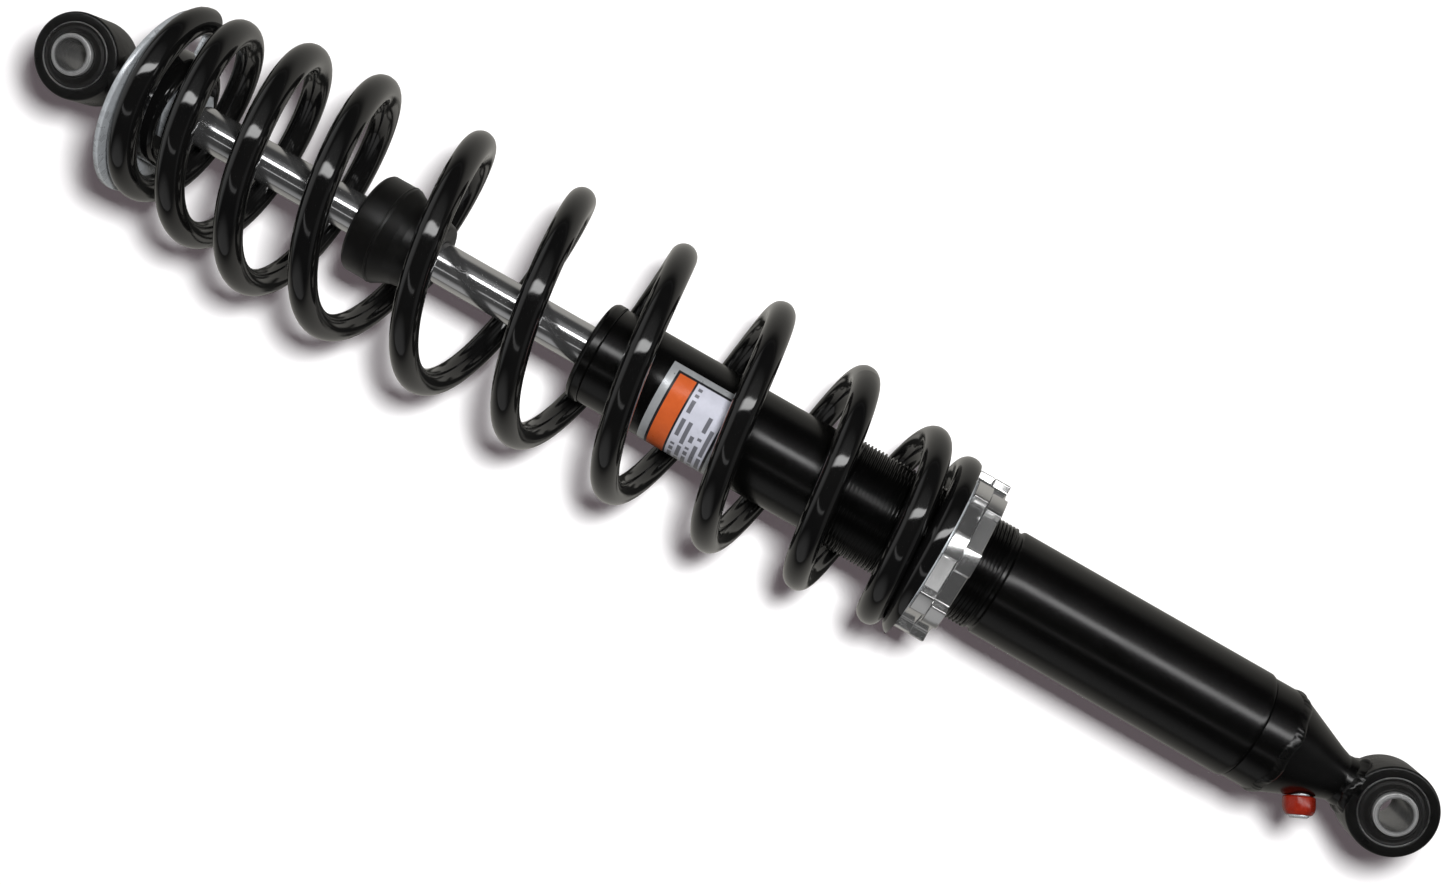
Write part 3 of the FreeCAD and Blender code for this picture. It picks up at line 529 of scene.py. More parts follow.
# ====================================================================== eyes and bushes
def eye_set(side, z0):
    up = side == "upper"
    # the barrel
    barrel = lathe(side + "_barrel", [(12.8, -9.3, 0.3), (13.4, -9.3, 0.1), (16.7, -9.3, 1.1), (16.7, 9.3, 1.1), (13.4, 9.3, 0.1), (12.8, 9.3, 0.3)],
                   M["black_steel"], axis="Y", centre=(0, 0, z0))
    shell = lathe(side + "_shell", [(12.25, -9.5, 0.15), (12.8, -9.5, 0.15), (12.8, 9.5, 0.15), (12.25, 9.5, 0.15)],
                  M["bush_shell_up" if up else "bush_shell"], axis="Y", centre=(0, 0, z0))
    settle(shell, side + "_bush_shell")
    rub = lathe(side + "_rubber",
                [(8.0, -11.0, 0.4), (8.9, -11.0, 0.4), (9.5, -10.2, 0.4), (10.2, -9.1, 0.5), (11.3, -8.8, 0.4), (11.9, -9.2, 0.2), (12.25, -9.2),
                 (12.25, 9.2), (11.9, 9.2, 0.2), (11.3, 8.8, 0.4), (10.2, 9.1, 0.5), (9.5, 10.2, 0.4), (8.9, 11.0, 0.4), (8.0, 11.0, 0.4)],
                M["bush_rubber"], axis="Y", centre=(0, 0, z0))
    settle(rub, side + "_bush_rubber")
    sl = lathe(side + "_sleeve", [(6.0, -12.6, 0.0), (6.7, -12.6, 0.2), (7.6, -12.6, 0.3), (7.95, -12.2, 0.2), (7.95, 12.2, 0.2), (7.6, 12.6, 0.3), (6.7, 12.6, 0.2), (6.0, 12.6, 0.0),
                                  (6.0, 12.2), (6.0, -12.2)],
               M["steel_sleeve_up" if up else "steel_sleeve"], axis="Y", centre=(0, 0, z0))
    settle(sl, side + "_bush_sleeve")
    return barrel


# upper eye: barrel and forged neck in one piece
up_eye = eye_set("upper", EYE)
neck = lathe("upper_neck", [(0, EYE - 13.4), (9.0, EYE - 13.4), (9.6, EYE - 17, 1.5), (9.8, EYE - 19.5, 2.0), (11.2, EYE - 22, 1.5), (13.0, EYE - 25, 1.2),
                            (13.0, 528.0, 0.6), (8.05, 528.0, 0.3), (8.05, 538.0), (0, 538.0)],
             M["black_steel"], closed=False, segs=96)
up_eye = boolean(up_eye, neck, "UNION")
up_eye.name = "upper_eye_forging"
settle(up_eye, "upper_eye")

low_eye = eye_set("lower", 0.0)
low_eye.name = "lower_eye_barrel"
settle(low_eye, "lower_eye")

# ====================================================================== spring retainer with its slot
R_PL, SH = 38.2, 8.5
outer = []
a0 = math.asin(SH / R_PL)
for k in range(181):
    a = a0 + (2 * math.pi - 2 * a0) * k / 180
    outer.append((R_PL * math.cos(a), R_PL * math.sin(a)))
for k in range(33):
    a = -math.pi / 2 - math.pi * k / 32
    outer.append((SH * math.cos(a), SH * math.sin(a)))
plate = extrude_outline("spring_retainer_plate", [outer], 526.0, 528.0, M["zinc_plate"], bevel=0.6, segs=4)
settle(plate, "spring_retainer")

cup = lathe("bump_cup_piece",
            [(8.02, 519.0, 0.2), (16.4, 519.0, 0.8), (18.4, 518.0, 0.8), (18.9, 516.6, 0.5), (19.6, 515.0, 0.9), (21.2, 515.0, 1.0), (22.3, 516.4, 0.9), (22.5, 519.0, 0.8), (22.5, 525.95, 0.3),
             (8.02, 525.95)], M["black_gloss"])
settle(cup, "bump_cup")


# hex nut with chamfered corners
def hex_nut(name, af, bore, z0, z1, mat, chamfer=0.9, lower=True, upper=False):
    segs, rows = 120, []
    half = af / 2.0

    def radius(t):
        k = (t + math.pi / 6) % (math.pi / 3) - math.pi / 6
        return half / math.cos(k)
    verts, faces = [], []
    levels = []
    cr = half / math.cos(math.pi / 6)
    top = [(z0, "c", chamfer)] if lower else [(z0, "f", 0)]
    # rows from the lower bore edge round the outside to the upper bore edge
    spec = [("bore", bore + 0.5, z0), ]
    outline = []
    for t in range(segs):
        a = 2 * math.pi * t / segs
        r = radius(a)
        over = r - (half + 0.15)
        lo_cut = max(0.0, over) * 0.55 if lower else 0.0
        hi_cut = max(0.0, over) * 0.55 if upper else 0.0
        col = [(bore, z0 + 0.5), (bore + 0.5, z0), (min(r, half + 0.15), z0), (r, z0 + lo_cut), (r, z1 - hi_cut), (min(r, half + 0.15), z1), (bore + 0.5, z1), (bore, z1 - 0.5)]
        outline.append([(rr * math.cos(a), rr * math.sin(a), zz) for rr, zz in col])
    m = len(outline[0])
    for t in range(segs):
        for p in outline[t]:
            verts.append(Vector(p) * MM)
    for t in range(segs):
        u = (t + 1) % segs
        for j in range(m):
            k = (j + 1) % m
            faces.append((t * m + j, u * m + j, u * m + k, t * m + k))
    return mesh_object(name, verts, faces, mat, 25.0)


jam = hex_nut("jam_nut_piece", 22.0, 8.02, 511.0, 519.0, M["zinc_plate"])
settle(jam, "rod_jam_nut")

# ====================================================================== rod
rod = lathe("rod_piece", [(0, 269.0), (4.6, 269.0), (5.0, 269.6), (5.0, 300.0), (8.0, 300.0, 0.2), (8.0, 538.0, 0.5), (0, 538.0)], M["chrome_rod"], closed=False, segs=128)
settle(rod, "damper_rod")

# ====================================================================== bump stop
bt = 433.6
stop = lathe("bump_stop_piece",
             [(8.1, bt, 0.5), (10.5, bt, 0.4), (11.2, bt - 0.5, 0.4), (12.0, bt, 0.4), (19.0, bt, 0.9), (20.0, bt - 1.2, 0.8), (20.0, bt - 10.0, 0.1), (20.22, bt - 10.25, 0.06), (20.22, bt - 10.5, 0.06), (20.0, bt - 10.75, 0.1),
              (20.0, bt - 11.6, 0.8), (19.2, bt - 13.0, 1.0), (17.5, bt - 16.2, 1.5), (16.4, bt - 19.2, 2.0), (15.7, bt - 23.5, 2.0), (15.0, bt - 27.6, 1.0), (14.0, bt - 30.3, 0.8), (8.1, bt - 30.3, 0.6)],
             M["bump_rubber"], segs=128)
settle(stop, "bump_stop")

# ====================================================================== damper head
cap = lathe("dust_cap_piece", [(12.05, 331.0), (19.75, 331.0, 0.2), (20.0, 331.4, 0.2), (20.0, 334.3, 1.6), (19.0, 336.2, 1.6), (13.2, 336.2, 0.3), (12.9, 335.8, 0.2), (12.05, 335.8, 0.2)],
            M["black_satin"], segs=144)
settle(cap, "dust_cap")
wiper = lathe("wiper_piece", [(8.06, 331.6), (12.0, 331.6), (12.0, 336.4, 0.3), (11.0, 336.6, 0.4), (10.2, 335.9, 0.3), (9.4, 335.9, 0.3), (8.8, 337.5, 0.3), (8.06, 337.5, 0.1)], M["seal_rubber"])
settle(wiper, "wiper_seal")

# ====================================================================== damper tube with a real helical thread
SEG = 144
PITCH = 1.5
CREST, ROOT = 21.0, 20.05
T_LOW, T_TOP = 164.8, 229.6


def thread_r(z, th):
    ph = (z / PITCH - th / (2 * math.pi)) % 1.0
    w = abs(ph - 0.5) * 2.0                  # 0 in the root's middle, 1 at the crest's middle
    prof = min(1.0, max(0.0, (w - 0.22) / 0.56))
    fade = min(1.0, (z - T_LOW) / 1.6, (T_TOP - z) / 1.2)
    return CREST - (CREST - ROOT) * (1 - prof) * max(0.0, fade)


outline = [(17.0, 57.8), (20.0, 57.8), (20.45, 57.85), (20.85, 58.2), (21.1, 58.9)]
z = 60.0
while z < 162.0:
    outline.append((21.1, z))
    z += 6.0
outline += [(21.1, 161.6), (20.95, 162.1), (20.0, 162.9), (19.95, 164.0), (20.3, 164.5)]
t_rows = []
z = T_LOW
while z <= T_TOP + 1e-6:
    t_rows.append(z)
    z += PITCH / 10
after = [(20.6, 229.9), (19.75, 230.6), (19.6, 231.2)]
z = 236.0
while z < 329:
    after.append((19.6, z))
    z += 6.0
after += [(19.6, 330.6), (19.3, 331.0), (17.0, 331.0)]
verts, faces = [], []
rings = []
for r, z in outline:
    rings.append([(r, z)] * SEG)
for z in t_rows:
    rings.append([(thread_r(z, 2 * math.pi * k / SEG), z) for k in range(SEG)])
for r, z in after:
    rings.append([(r, z)] * SEG)
for ring in rings:
    for k, (r, z) in enumerate(ring):
        t = 2 * math.pi * k / SEG
        verts.append(Vector((r * math.cos(t), r * math.sin(t), z)) * MM)
nr = len(rings)
for i in range(nr):
    j = (i + 1) % nr
    for k in range(SEG):
        u = (k + 1) % SEG
        faces.append((i * SEG + k, i * SEG + u, j * SEG + u, j * SEG + k))
tube = mesh_object("damper_tube_piece", verts, faces, M["black_satin"], 28.0)
settle(tube, "damper_tube")

# ====================================================================== label film, wrapped
lv, lf = [], []
NA, NH = 120, 16
A0, A1 = math.radians(-90 + 34.0 + AIM), math.radians(-90 + 34.0 + AIM - 184.0)
for layer, r in ((0, 19.62), (1, 19.80)):
    for i in range(NA + 1):
        a = A0 + (A1 - A0) * i / NA
        for j in range(NH + 1):
            zz = 274.0 + 30.7 * j / NH
            # rounded corners, and the corner by the top edge lifts a hair
            # the outer layer's edges sit a hair lower
            e = min(i, NA - i) / NA * abs(A1 - A0) * 19.8
            f = min(j, NH - j) / NH * 30.7
            lift = 0.0
            if layer == 1 and (e < 0.01 or f < 0.01):
                lift = -0.06
            lv.append(Vector(((r + lift) * math.cos(a), (r + lift) * math.sin(a), zz)) * MM)
W = NH + 1
L = (NA + 1) * W
for i in range(NA):
    for j in range(NH):
        a, b, c, d = i * W + j, (i + 1) * W + j, (i + 1) * W + j + 1, i * W + j + 1
        lf.append((a, b, c, d))
        lf.append((L + a, L + d, L + c, L + b))
for i in range(NA):
    for j in (0, NH):
        a, b = i * W + j, (i + 1) * W + j
        lf.append((a, b, L + b, L + a))
for j in range(NH):
    for i in (0, NA):
        a, b = i * W + j, i * W + j + 1
        lf.append((a, b, L + b, L + a))
label = mesh_object("label_film_piece", lv, lf, M["label_film"], 40.0)
settle(label, "label_band")

# ====================================================================== end cap: cylinder, weld bead, cone, saddle weld
K = (20.0 - 8.9) / 25.0
prof = [(0, 34.0), (5.0, 36.0), (12.6, 45.0), (13.2, 69.5), (16.4, 69.8), (16.98, 69.0), (16.98, 57.82), (19.7, 57.82, 0.2), (20.25, 57.3, 0.3), (20.3, 56.0), (20.3, 52.0), (20.3, 49.0)]
capm = lathe("end_cap_piece", prof + [(20.3, 47.2), (19.9, 45.0, 1.5), (20.0 - (45 - 42.0) * K, 42.0), (20.0 - (45 - 36.0) * K, 36.0), (20.0 - (45 - 30.0) * K, 30.0), (20.0 - (45 - 24.0) * K, 24.0),
                                     (9.3, 20.2, 1.5), (9.6, 17.0, 1.0), (9.4, 13.4), (0, 13.4)],
             M["black_satin"], closed=False, segs=144)


def strip_bead(name, path, normals, width, height, mat, seed, ripple=2.2, closed=True):
    """A weld bead: a low rounded strip laid along a path, with overlapping ripples."""
    n = len(path)
    m = 9
    verts, faces = [], []
    total = 0.0
    lens = [0.0]
    for i in range(1, n):
        total += (path[i] - path[i - 1]).length
        lens.append(total)
    for i in range(n):
        tan = (path[(i + 1) % n] - path[i - 1]).normalized() if closed else (path[min(i + 1, n - 1)] - path[max(i - 1, 0)]).normalized()
        nrm = normals[i].normalized()
        side = tan.cross(nrm).normalized()
        s = lens[i]
        # uneven scales: their spacing and height drift along the bead
        ripp = abs(math.sin(math.pi * s / ripple + 1.1 * math.sin(s * 0.31 + seed) + 0.5 * math.sin(s * 0.9 + seed)))
        ripp = ripp * (0.45 + 0.55 * math.sin(s * 0.23 + 2.1 * seed) ** 2)
        lump = 1 + 0.26 * math.sin(s * 0.37 + seed) + 0.18 * math.sin(s * 0.83 + 2 * seed)
        drift = 0.45 * math.sin(s * 0.41 + seed * 3)
        for k in range(m):
            u = -1 + 2 * k / (m - 1)
            hgt = height * math.sqrt(max(0, 1 - u * u)) * (0.84 + 0.16 * ripp) * lump
            # each ripple is swept back in the middle like a laid scale
            back = -0.30 * (1 - u * u)
            p = path[i] + side * (u * width * 0.5 * (0.94 + 0.06 * ripp) + drift) + nrm * (hgt - 0.25) + tan * back
            verts.append(p * MM)
        for k in range(m - 2, 0, -1):
            u = -1 + 2 * k / (m - 1)
            verts.append((path[i] + side * (u * width * 0.46 + drift) - nrm * 0.7) * MM)
    w = m + m - 2
    last = n if closed else n - 1
    for i in range(last):
        j = (i + 1) % n
        for k in range(w):
            q = (k + 1) % w
            faces.append((i * w + k, j * w + k, j * w + q, i * w + q))
    if not closed:
        faces.append(tuple(range(w)))
        faces.append(tuple((n - 1) * w + k for k in range(w - 1, -1, -1)))
    return mesh_object(name, verts, faces, mat, 50.0)


N1 = 420
path, nrm = [], []
for i in range(N1):
    t = 2 * math.pi * i / N1
    path.append(Vector((20.0 * math.cos(t), 20.0 * math.sin(t), 45.6 + 0.3 * math.sin(2 * t))))
    nrm.append(Vector((math.cos(t), math.sin(t), -0.25)))
bead1 = strip_bead("weld_bead_cone", path, nrm, 4.6, 0.70, M["weld_black"], 1.3, ripple=3.1)
# saddle where the cone meets the eye barrel
N2 = 300
path, nrm = [], []
for i in range(N2):
    t = 2 * math.pi * i / N2
    x, y = 10.0 * math.cos(t), 9.0 * math.sin(t)
    zz = math.sqrt(max(0.0, 17.0 ** 2 - x * x))
    path.append(Vector((x, y, zz + 0.4)))
    out = Vector((math.cos(t), math.sin(t), 0.0))
    barrel_n = Vector((x, 0, zz)).normalized()
    nrm.append((out + barrel_n * 0.9).normalized())
bead2 = strip_bead("weld_bead_eye", path, nrm, 5.0, 1.5, M["weld_black"], 4.1, ripple=3.4)
settle(capm, "end_cap")
for b in (bead1, bead2):
    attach(b, "damper_body")

# ====================================================================== gas valve cap
slope = math.atan(K)
PHI = math.radians(12.0 + AIM)
vdir = Vector((-math.cos(slope) * math.cos(PHI), -math.cos(slope) * math.sin(PHI), -math.sin(slope)))
vz = 29.5
vrad = 20.0 - (45.0 - vz) * K
vpt = Vector((-vrad * math.cos(PHI), -vrad * math.sin(PHI), vz)) * MM
rot = Vector((0, 0, 1)).rotation_difference(vdir).to_matrix().to_4x4()
place = Matrix.Translation(vpt) @ rot


def grip(r, z, t):
    # soft eight-sided grip
    k = (t + math.pi / 8) % (math.pi / 4) - math.pi / 8
    f = 1.0
    if r > 5.0:
        f = 0.985 + 0.03 * (1 - abs(k) / (math.pi / 8)) * 0.5 - 0.012 * (abs(k) / (math.pi / 8)) ** 2
    return r * f, z


vcap = lathe("valve_cap_piece", [(3.2, 0.1), (5.2, 0.1, 0.3), (5.8, 0.6, 0.3), (5.9, 2.6), (5.85, 4.2), (5.5, 5.6, 1.2), (4.7, 6.7, 1.0), (4.1, 7.0, 0.3), (3.7, 6.9, 0.1), (3.7, 6.6), (3.2, 6.0)],
             M["red_cap"], closed=True, segs=96, wobble=grip, place=place)
settle(vcap, "valve_cap")
vdisc = lathe("valve_cap_disc_piece", [(0, 6.2), (3.65, 6.2), (3.65, 7.4, 0.3), (3.0, 7.85, 0.4), (0, 7.9)], M["zinc_plate"], closed=False, segs=64, place=place)
settle(vdisc, "valve_cap_disc")


# ====================================================================== castellated ring nuts
def nut_outline(R, root, n=8):
    """Outer loop with n hook-spanner notches: flat floors, small corners, slightly opening flanks. A notch points to +X."""
    pts = []
    for i in range(n):
        c = 2 * math.pi * i / n
        half = math.asin(8.0 / R)
        loc = [(root, -6.3), (root, -3.0), (root, 0.0), (root, 3.0), (root, 6.3), (root + 0.3, 6.75), (root + 0.9, 7.15)]
        loc = [(root + 0.9, -7.15), (root + 0.3, -6.75)] + loc
        for x, y in loc:
            pts.append((x * math.cos(c) - y * math.sin(c), x * math.sin(c) + y * math.cos(c)))
        a0, a1 = c + half, c + 2 * math.pi / n - half
        for k in range(9):
            a = a0 + (a1 - a0) * k / 8
            pts.append((R * math.cos(a), R * math.sin(a)))
    return pts


def ring_nut(name, z0, z1, turn):
    hole = [(21.1 * math.cos(2 * math.pi * k / 144), 21.1 * math.sin(2 * math.pi * k / 144)) for k in range(144)]
    return extrude_outline(name, [nut_outline(33.0, 28.6), hole], z0, z1, M["machined_aluminium"], bevel=0.45, segs=3, turn=turn, angle=28.0)


n1 = ring_nut("adjuster_nut_piece", 181.32, 187.4, 28.0 + AIM)
settle(n1, "adjuster_nut")
n2 = ring_nut("lock_nut_piece", 175.1, 181.18, 22.5 + AIM)
settle(n2, "lock_nut")
wash = lathe("thrust_washer_piece", [(21.4, 187.5, 0.1), (31.2, 187.5, 0.2), (31.2, 188.5, 0.2), (21.4, 188.5, 0.1)], M["zinc_plate"])
settle(wash, "spring_thrust_washer")

# ====================================================================== coil spring
ROWS = [
    (0, 36.0, 33.4, 2.2), (0.25, 39.6, 33.6, 2.1), (0.5, 41.5, 34.6, 1.9), (0.75, 43.6, 35.5, 1.8), (1, 50.3, 36.6, 1.6),
    (1.25, 61.4, 38.1, 1.5), (1.5, 68.3, 39.6, 1.4), (1.75, 70.9, 40.9, 1.3), (2, 78.1, 42.0, 1.3), (2.25, 89.8, 43.3, 1.3),
    (2.5, 97.0, 44.2, 1.3), (2.75, 99.9, 44.7, 1.3), (3, 107.5, 44.9, 1.4), (3.25, 120.4, 44.7, 1.5), (3.5, 131.7, 44.5, 1.5),
    (3.75, 140.1, 44.5, 1.6), (4, 150.3, 44.5, 1.7), (4.25, 162.9, 44.5, 1.8), (4.5, 174.2, 44.6, 1.9), (4.75, 183.6, 44.5, 2.0),
    (5, 194.0, 44.4, 2.1), (5.25, 205.4, 44.4, 2.2), (5.5, 216.4, 44.4, 2.3), (5.75, 227.1, 44.5, 2.3), (6, 237.6, 44.5, 2.4),
    (6.25, 247.7, 44.6, 2.4), (6.5, 258.2, 44.6, 2.4), (6.75, 269.4, 44.4, 2.3), (7, 279.9, 43.9, 2.3), (7.25, 289.0, 43.1, 2.3),
    (7.5, 298.6, 41.8, 2.1), (7.75, 309.0, 40.5, 1.9), (8, 318.7, 39.1, 1.7), (8.25, 326.6, 37.5, 1.5), (8.5, 334.3, 36.0, 1.1),
    (8.75, 343.6, 34.8, 0.7), (9, 352.6, 33.9, 0.3), (9.25, 358.6, 33.0, 0.0), (9.5, 363.2, 32.2, -0.3), (9.75, 366.3, 31.5, -0.5),
    (10, 368.4, 31.2, -0.7), (10.25, 369.6, 31.2, -0.7), (10.5, 373.9, 31.3, -0.7), (10.6, 375.6, 31.3, -0.7),
]


def smooth_rows(t, col):
    xs = [r[0] for r in ROWS]
    ys = [r[col] for r in ROWS]
    n = len(xs)
    d = [(ys[i + 1] - ys[i]) / (xs[i + 1] - xs[i]) for i in range(n - 1)]
    m = [d[0]] + [0.0 if d[i - 1] * d[i] <= 0 else 2 * d[i - 1] * d[i] / (d[i - 1] + d[i]) for i in range(1, n - 1)] + [d[-1]]
    k = 0
    while k < n - 2 and t > xs[k + 1]:
        k += 1
    w = xs[k + 1] - xs[k]
    s = (t - xs[k]) / w
    return ((2 * s ** 3 - 3 * s ** 2 + 1) * ys[k] + (s ** 3 - 2 * s ** 2 + s) * w * m[k]
            + (-2 * s ** 3 + 3 * s ** 2) * ys[k + 1] + (s ** 3 - s ** 2) * w * m[k + 1])


def wire_point(t):
    drop, rad, off = (smooth_rows(t, c) for c in (1, 2, 3))
    a = 2 * math.pi * t
    return Vector((rad * math.cos(a) + off, -rad * math.sin(a), EYE - drop))


WIRE = 5.25
SEAT, PLATE = 188.5, 525.97
STEP = 1.0 / 64
T1 = 10.5
ts = [T1 * i / round(T1 / STEP) for i in range(round(T1 / STEP) + 1)]
centre = [wire_point(t) for t in ts]
tang = [(centre[min(i + 1, len(ts) - 1)] - centre[max(i - 1, 0)]).normalized() for i in range(len(ts))]
NW = 40


def ring_at(i, inset=0.0):
    c, tg = centre[i], tang[i]
    a = 2 * math.pi * ts[i]
    radial = Vector((math.cos(a), -math.sin(a), 0))
    e1 = (radial - tg * radial.dot(tg)).normalized()
    e2 = tg.cross(e1)
    out = []
    for k in range(NW):
        s = 2 * math.pi * k / NW
        p = c + (e1 * math.cos(s) + e2 * math.sin(s)) * (WIRE - inset)
        p.z = min(max(p.z, SEAT), PLATE)          # ground flat on both end faces
        out.append(p)
    return out


def spring_piece(name, i0, i1, cap0, cap1):
    verts, faces, heights = [], [], []
    spans = list(range(i0, i1 + 1))

    def add(ring, h):
        base = len(verts)
        for p in ring:
            verts.append(p * MM)
            heights.append(h)
        return base

    bases = []
    if cap0:
        ringp = ring_at(i0, 0.5)
        bases.append(add([p - tang[i0] * 0.5 + tang[i0] * 0.0 for p in ringp], centre[i0].z))
    for i in spans:
        bases.append(add(ring_at(i), centre[i].z))
    if cap1:
        ringp = ring_at(i1, 0.5)
        bases.append(add([p + tang[i1] * 0.5 for p in ringp], centre[i1].z))
    for b, c in zip(bases, bases[1:]):
        for k in range(NW):
            q = (k + 1) % NW
            faces.append((b + k, c + k, c + q, b + q))
    faces.append(tuple(bases[0] + k for k in range(NW)))
    faces.append(tuple(bases[-1] + k for k in range(NW - 1, -1, -1)))
    me = bpy.data.meshes.new(name)
    me.from_pydata([tuple(v) for v in verts], [], faces)
    me.update()
    bm = bmesh.new()
    bm.from_mesh(me)
    bmesh.ops.recalc_face_normals(bm, faces=bm.faces)
    bm.to_mesh(me)
    bm.free()
    me.shade_smooth()
    me.set_sharp_from_angle(angle=math.radians(38))
    me.materials.append(M["spring_gloss"])
    ob = bpy.data.objects.new(name, me)
    bpy.context.scene.collection.objects.link(ob)
    return ob, heights


SPLIT = 240.0                    # the coils are built in two pieces, split at this height
isplit = min(range(len(ts)), key=lambda i: abs(centre[i].z - SPLIT))
upper, h_up = spring_piece("spring_upper_coils", 0, isplit, True, False)
lower, h_lo = spring_piece("spring_lower_coils", isplit, len(ts) - 1, False, True)


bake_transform(upper)
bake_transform(lower)
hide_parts("coil_spring")
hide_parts("coil_spring")

# ====================================================================== stage, lights, camera
# The shock rests on a pale upright board just behind the coils. From behind, the board lets the view through.
sc = bpy.context.scene


class Tree:
    """Small helper for the stage's and the world's shader trees."""
    def __init__(self, tree):
        self.t = tree
        self.t.nodes.clear()

    def node(self, kind, **kw):
        n = self.t.nodes.new(kind)
        for k, v in kw.items():
            setattr(n, k, v)
        return n

    def put(self, sock, x):
        if isinstance(x, (int, float)):
            sock.default_value = x
        elif isinstance(x, (tuple, list)):
            sock.default_value = (*x, 1) if len(x) == 3 and len(sock.default_value) == 4 else x
        else:
            self.t.links.new(x, sock)

    def math(self, op, a, b=None, clamp=False):
        n = self.node("ShaderNodeMath", operation=op, use_clamp=clamp)
        self.put(n.inputs[0], a)
        if b is not None:
            self.put(n.inputs[1], b)
        return n.outputs[0]

    def step(self, x, lo, hi):
        n = self.node("ShaderNodeMapRange", interpolation_type="SMOOTHSTEP")
        self.put(n.inputs["Value"], x)
        n.inputs["From Min"].default_value = lo
        n.inputs["From Max"].default_value = hi
        return n.outputs[0]

    def mixs(self, fac, a, b):
        n = self.node("ShaderNodeMixShader")
        self.put(n.inputs[0], fac)
        self.t.links.new(a, n.inputs[1])
        self.t.links.new(b, n.inputs[2])
        return n.outputs[0]


BOARD_Y = 0.115
floor_m = bpy.data.materials.new("floor_pale")
floor_m.use_nodes = True
T = Tree(floor_m.node_tree)
tc = T.node("ShaderNodeTexCoord")
fn = T.node("ShaderNodeTexNoise")
fn.inputs["Scale"].default_value = 3.0
T.put(fn.inputs["Vector"], tc.outputs["Object"])


def board_shade(lo_, hi_, glow, tint=(1.0, 1.0, 1.0)):
    r = T.node("ShaderNodeValToRGB")
    r.color_ramp.elements[0].color = tuple(lo_ * t for t in tint) + (1,)
    r.color_ramp.elements[1].color = tuple(hi_ * t for t in tint) + (1,)
    T.put(r.inputs[0], fn.outputs["Fac"])
    d = T.node("ShaderNodeBsdfDiffuse")
    T.put(d.inputs["Color"], r.outputs[0])
    e = T.node("ShaderNodeEmission")
    T.put(e.inputs["Color"], glow)
    e.inputs["Strength"].default_value = 1.0
    add = T.node("ShaderNodeAddShader")
    T.t.links.new(d.outputs[0], add.inputs[0])
    T.t.links.new(e.outputs[0], add.inputs[1])
    return add.outputs[0]


seen = board_shade(0.90, 0.93, (0.060, 0.042, 0.050))
mirrored = board_shade(0.225, 0.24, (0.016, 0.016, 0.015), tint=(1.03, 1.0, 0.93))
lp = T.node("ShaderNodeLightPath")
geo = T.node("ShaderNodeNewGeometry")
tr = T.node("ShaderNodeBsdfTransparent")
front = T.mixs(lp.outputs["Is Camera Ray"], mirrored, seen)
both = T.mixs(geo.outputs["Backfacing"], front, tr.outputs[0])
fo = T.node("ShaderNodeOutputMaterial")
T.t.links.new(both, fo.inputs[0])
fme = bpy.data.meshes.new("floor")
S = 30.0
fme.from_pydata([(-S, BOARD_Y, -S), (S, BOARD_Y, -S), (S, BOARD_Y, S), (-S, BOARD_Y, S)], [], [(0, 1, 2, 3)])
floor = bpy.data.objects.new("floor", fme)
sc.collection.objects.link(floor)
fme.materials.append(floor_m)

# The room. Reflections see a dim studio with one long upright strip of light to the right, a faint
# narrow one to the left, a pale ceiling and a dark floor; everything else sees plain soft white light.
w = bpy.data.worlds.new("studio")
sc.world = w
w.use_nodes = True
W_ = Tree(w.node_tree)
tcw = W_.node("ShaderNodeTexCoord")
sep = W_.node("ShaderNodeSeparateXYZ")
W_.put(sep.inputs[0], tcw.outputs["Generated"])
dx, dy, dz = sep.outputs
front_side = W_.math("LESS_THAN", dy, -0.12)
ahead = W_.math("MAXIMUM", W_.math("MULTIPLY", dy, -1.0), 0.02)
px, pz = W_.math("DIVIDE", dx, ahead), W_.math("DIVIDE", dz, ahead)
# centre line of the strip: x = 0.477 - 0.18 pz above, leaning further to the right below
line = W_.math("SUBTRACT", 0.477, W_.math("MULTIPLY", pz, 0.17))
low = W_.math("MAXIMUM", W_.math("MULTIPLY", pz, -1.0), 0.0)
line = W_.math("ADD", line, W_.math("MULTIPLY", W_.math("MULTIPLY", low, low), 0.078))
off = W_.math("ABSOLUTE", W_.math("SUBTRACT", px, line))
across = W_.math("SUBTRACT", 1.0, W_.step(off, 0.085, 0.145))
along = W_.math("MULTIPLY", W_.math("SUBTRACT", 1.0, W_.step(pz, 0.30, 1.15)), W_.math("SUBTRACT", 1.0, W_.step(low, 1.6, 2.6)))
strip = W_.math("MULTIPLY", W_.math("MULTIPLY", across, along), W_.math("MULTIPLY", front_side, 7.0))
off2 = W_.math("ABSOLUTE", W_.math("ADD", px, 0.50))
across2 = W_.math("SUBTRACT", 1.0, W_.step(off2, 0.030, 0.060))
along2 = W_.math("SUBTRACT", 1.0, W_.step(W_.math("ABSOLUTE", pz), 0.75, 1.10))
strip2 = W_.math("MULTIPLY", W_.math("MULTIPLY", across2, along2), W_.math("MULTIPLY", front_side, 0.75))
top = W_.math("MULTIPLY", W_.step(dz, 0.62, 0.86), 0.50)
bottom = W_.math("MULTIPLY", W_.step(W_.math("MULTIPLY", dz, -1.0), 0.80, 0.95), 0.13)
back = W_.math("MULTIPLY", W_.step(dy, -0.10, 0.25), 0.32)
# a pale side wall, beyond the left end of the room
wall = W_.math("MULTIPLY", W_.step(W_.math("MULTIPLY", dx, -1.0), 0.74, 0.96), 0.34)
room = W_.math("ADD", W_.math("ADD", top, bottom), W_.math("ADD", W_.math("MAXIMUM", back, wall), 0.022))
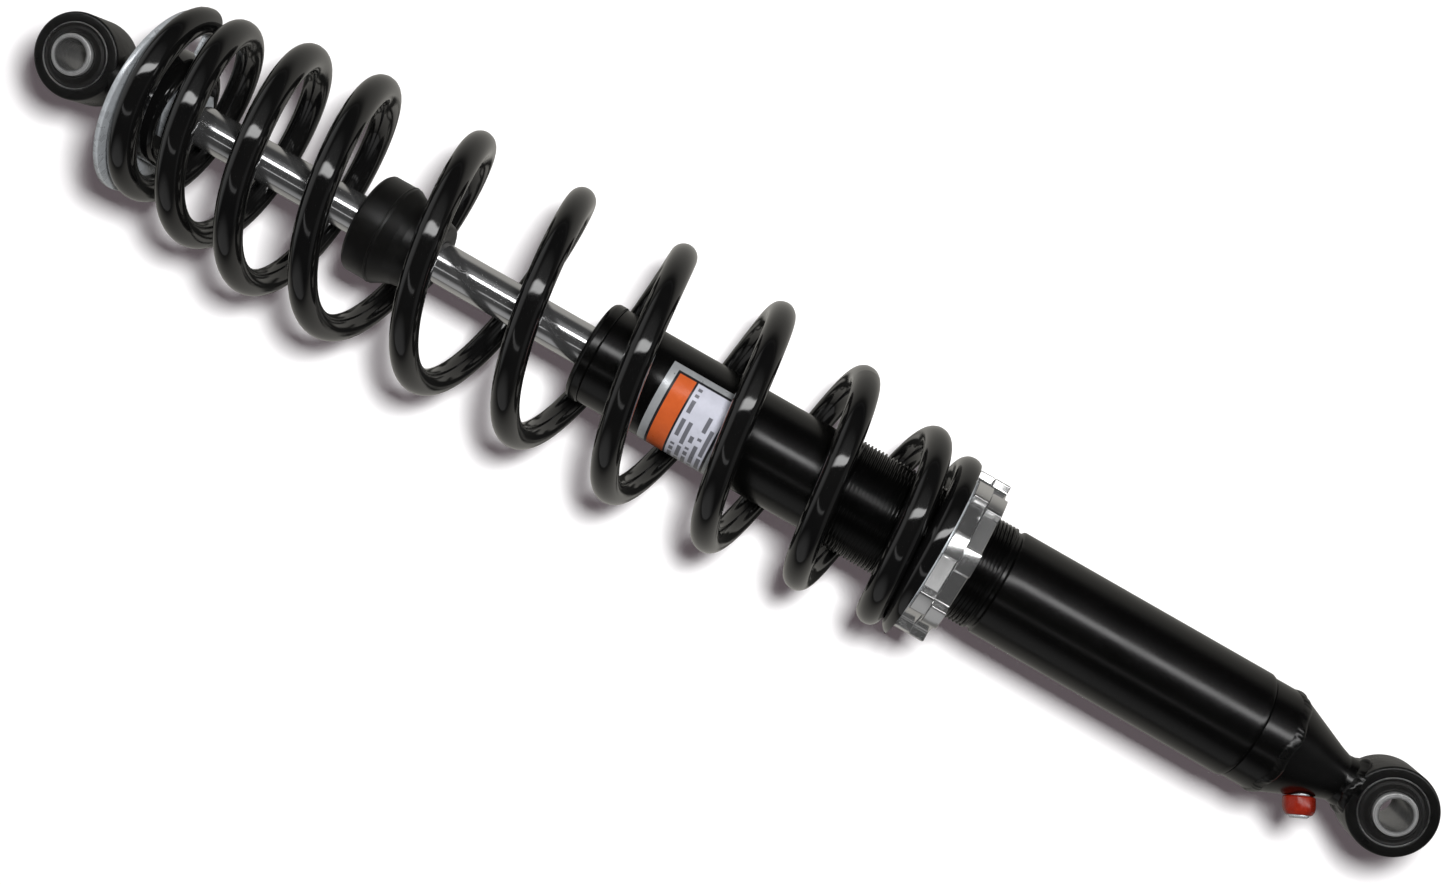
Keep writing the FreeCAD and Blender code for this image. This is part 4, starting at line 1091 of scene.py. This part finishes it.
# a soft glow to the right of the strip
glow = W_.math("SUBTRACT", 1.0, W_.step(W_.math("SUBTRACT", px, line), 0.0, 1.5))
glow = W_.math("MULTIPLY", W_.math("MULTIPLY", glow, W_.math("GREATER_THAN", W_.math("SUBTRACT", px, line), 0.0)), W_.math("MULTIPLY", along, 0.28))
level = W_.math("ADD", W_.math("ADD", room, W_.math("MULTIPLY", glow, front_side)), W_.math("ADD", strip, strip2))
bg_ref = W_.node("ShaderNodeBackground")
W_.put(bg_ref.inputs["Strength"], level)
bg_soft = W_.node("ShaderNodeBackground")
bg_soft.inputs["Strength"].default_value = 0.07
bg_seen = W_.node("ShaderNodeBackground")
bg_seen.inputs["Strength"].default_value = 1.0
lw = W_.node("ShaderNodeLightPath")
m1_ = W_.mixs(lw.outputs["Is Glossy Ray"], bg_soft.outputs[0], bg_ref.outputs[0])
m2_ = W_.mixs(lw.outputs["Is Camera Ray"], m1_, bg_seen.outputs[0])
wo = W_.node("ShaderNodeOutputWorld")
W_.t.links.new(m2_, wo.inputs[0])
w.cycles.sampling_method = "MANUAL"
w.cycles.sample_map_resolution = 2048


def area(name, direction, dist, size, size_y, power, up=(0, 0, 1), target=(0, 0, 0.28)):
    d = Vector(direction).normalized()
    li = bpy.data.lights.new(name, "AREA")
    li.shape = "RECTANGLE"
    li.size, li.size_y = size, size_y
    li.energy = power
    ob = bpy.data.objects.new(name, li)
    z = d
    x = Vector(up).cross(z).normalized()
    y = z.cross(x)
    m = Matrix((x, y, z)).transposed().to_4x4()
    m.translation = Vector(target) + d * dist
    ob.matrix_world = m
    ob.visible_camera = False
    sc.collection.objects.link(ob)
    return ob


# the soft main light, for shade and cast shadows only; its strength does not fall off across the shock
here, aim_at = Vector((0.1185, -0.612, 0.2215)), Vector((0.0, 0.0, 0.27))
key = area("key", here - aim_at, (here - aim_at).length, 0.062, 0.062, 14.5, target=tuple(aim_at))
key.visible_glossy = False
key.data.use_nodes = True
kt = key.data.node_tree
even = kt.nodes.new("ShaderNodeLightFalloff")
even.inputs["Strength"].default_value = 1.0
kt.links.new(even.outputs["Constant"], [n for n in kt.nodes if n.type == "EMISSION"][0].inputs["Strength"])

cam = bpy.data.cameras.new("camera")
co = bpy.data.objects.new("camera", cam)
sc.collection.objects.link(co)
right = Vector((0.4900529965, 0.1016744068, -0.8657426728))
down = Vector((-0.8645983743, -0.0697577162, -0.4975977413))
fwd = Vector((-0.1109851868, 0.9923689717, 0.0537225490))
m = Matrix((right, -down, -fwd)).transposed().to_4x4()
m.translation = Vector((62.0008, -612.1661, 242.3639)) * MM
co.matrix_world = m
cam.sensor_fit = "HORIZONTAL"
cam.sensor_width = 36.0
F, PX, PY = 1650.2723, 722.4, 444.185
cam.lens = F / 1445.0 * 36.0
cam.shift_x = (722.5 - PX) / 1445.0
cam.shift_y = (PY - 442.5) / 1445.0
cam.clip_start, cam.clip_end = 0.01, 100
sc.camera = co
sc.view_settings.view_transform = "Standard"
sc.view_settings.look = "None"
sc.view_settings.exposure = 0.0
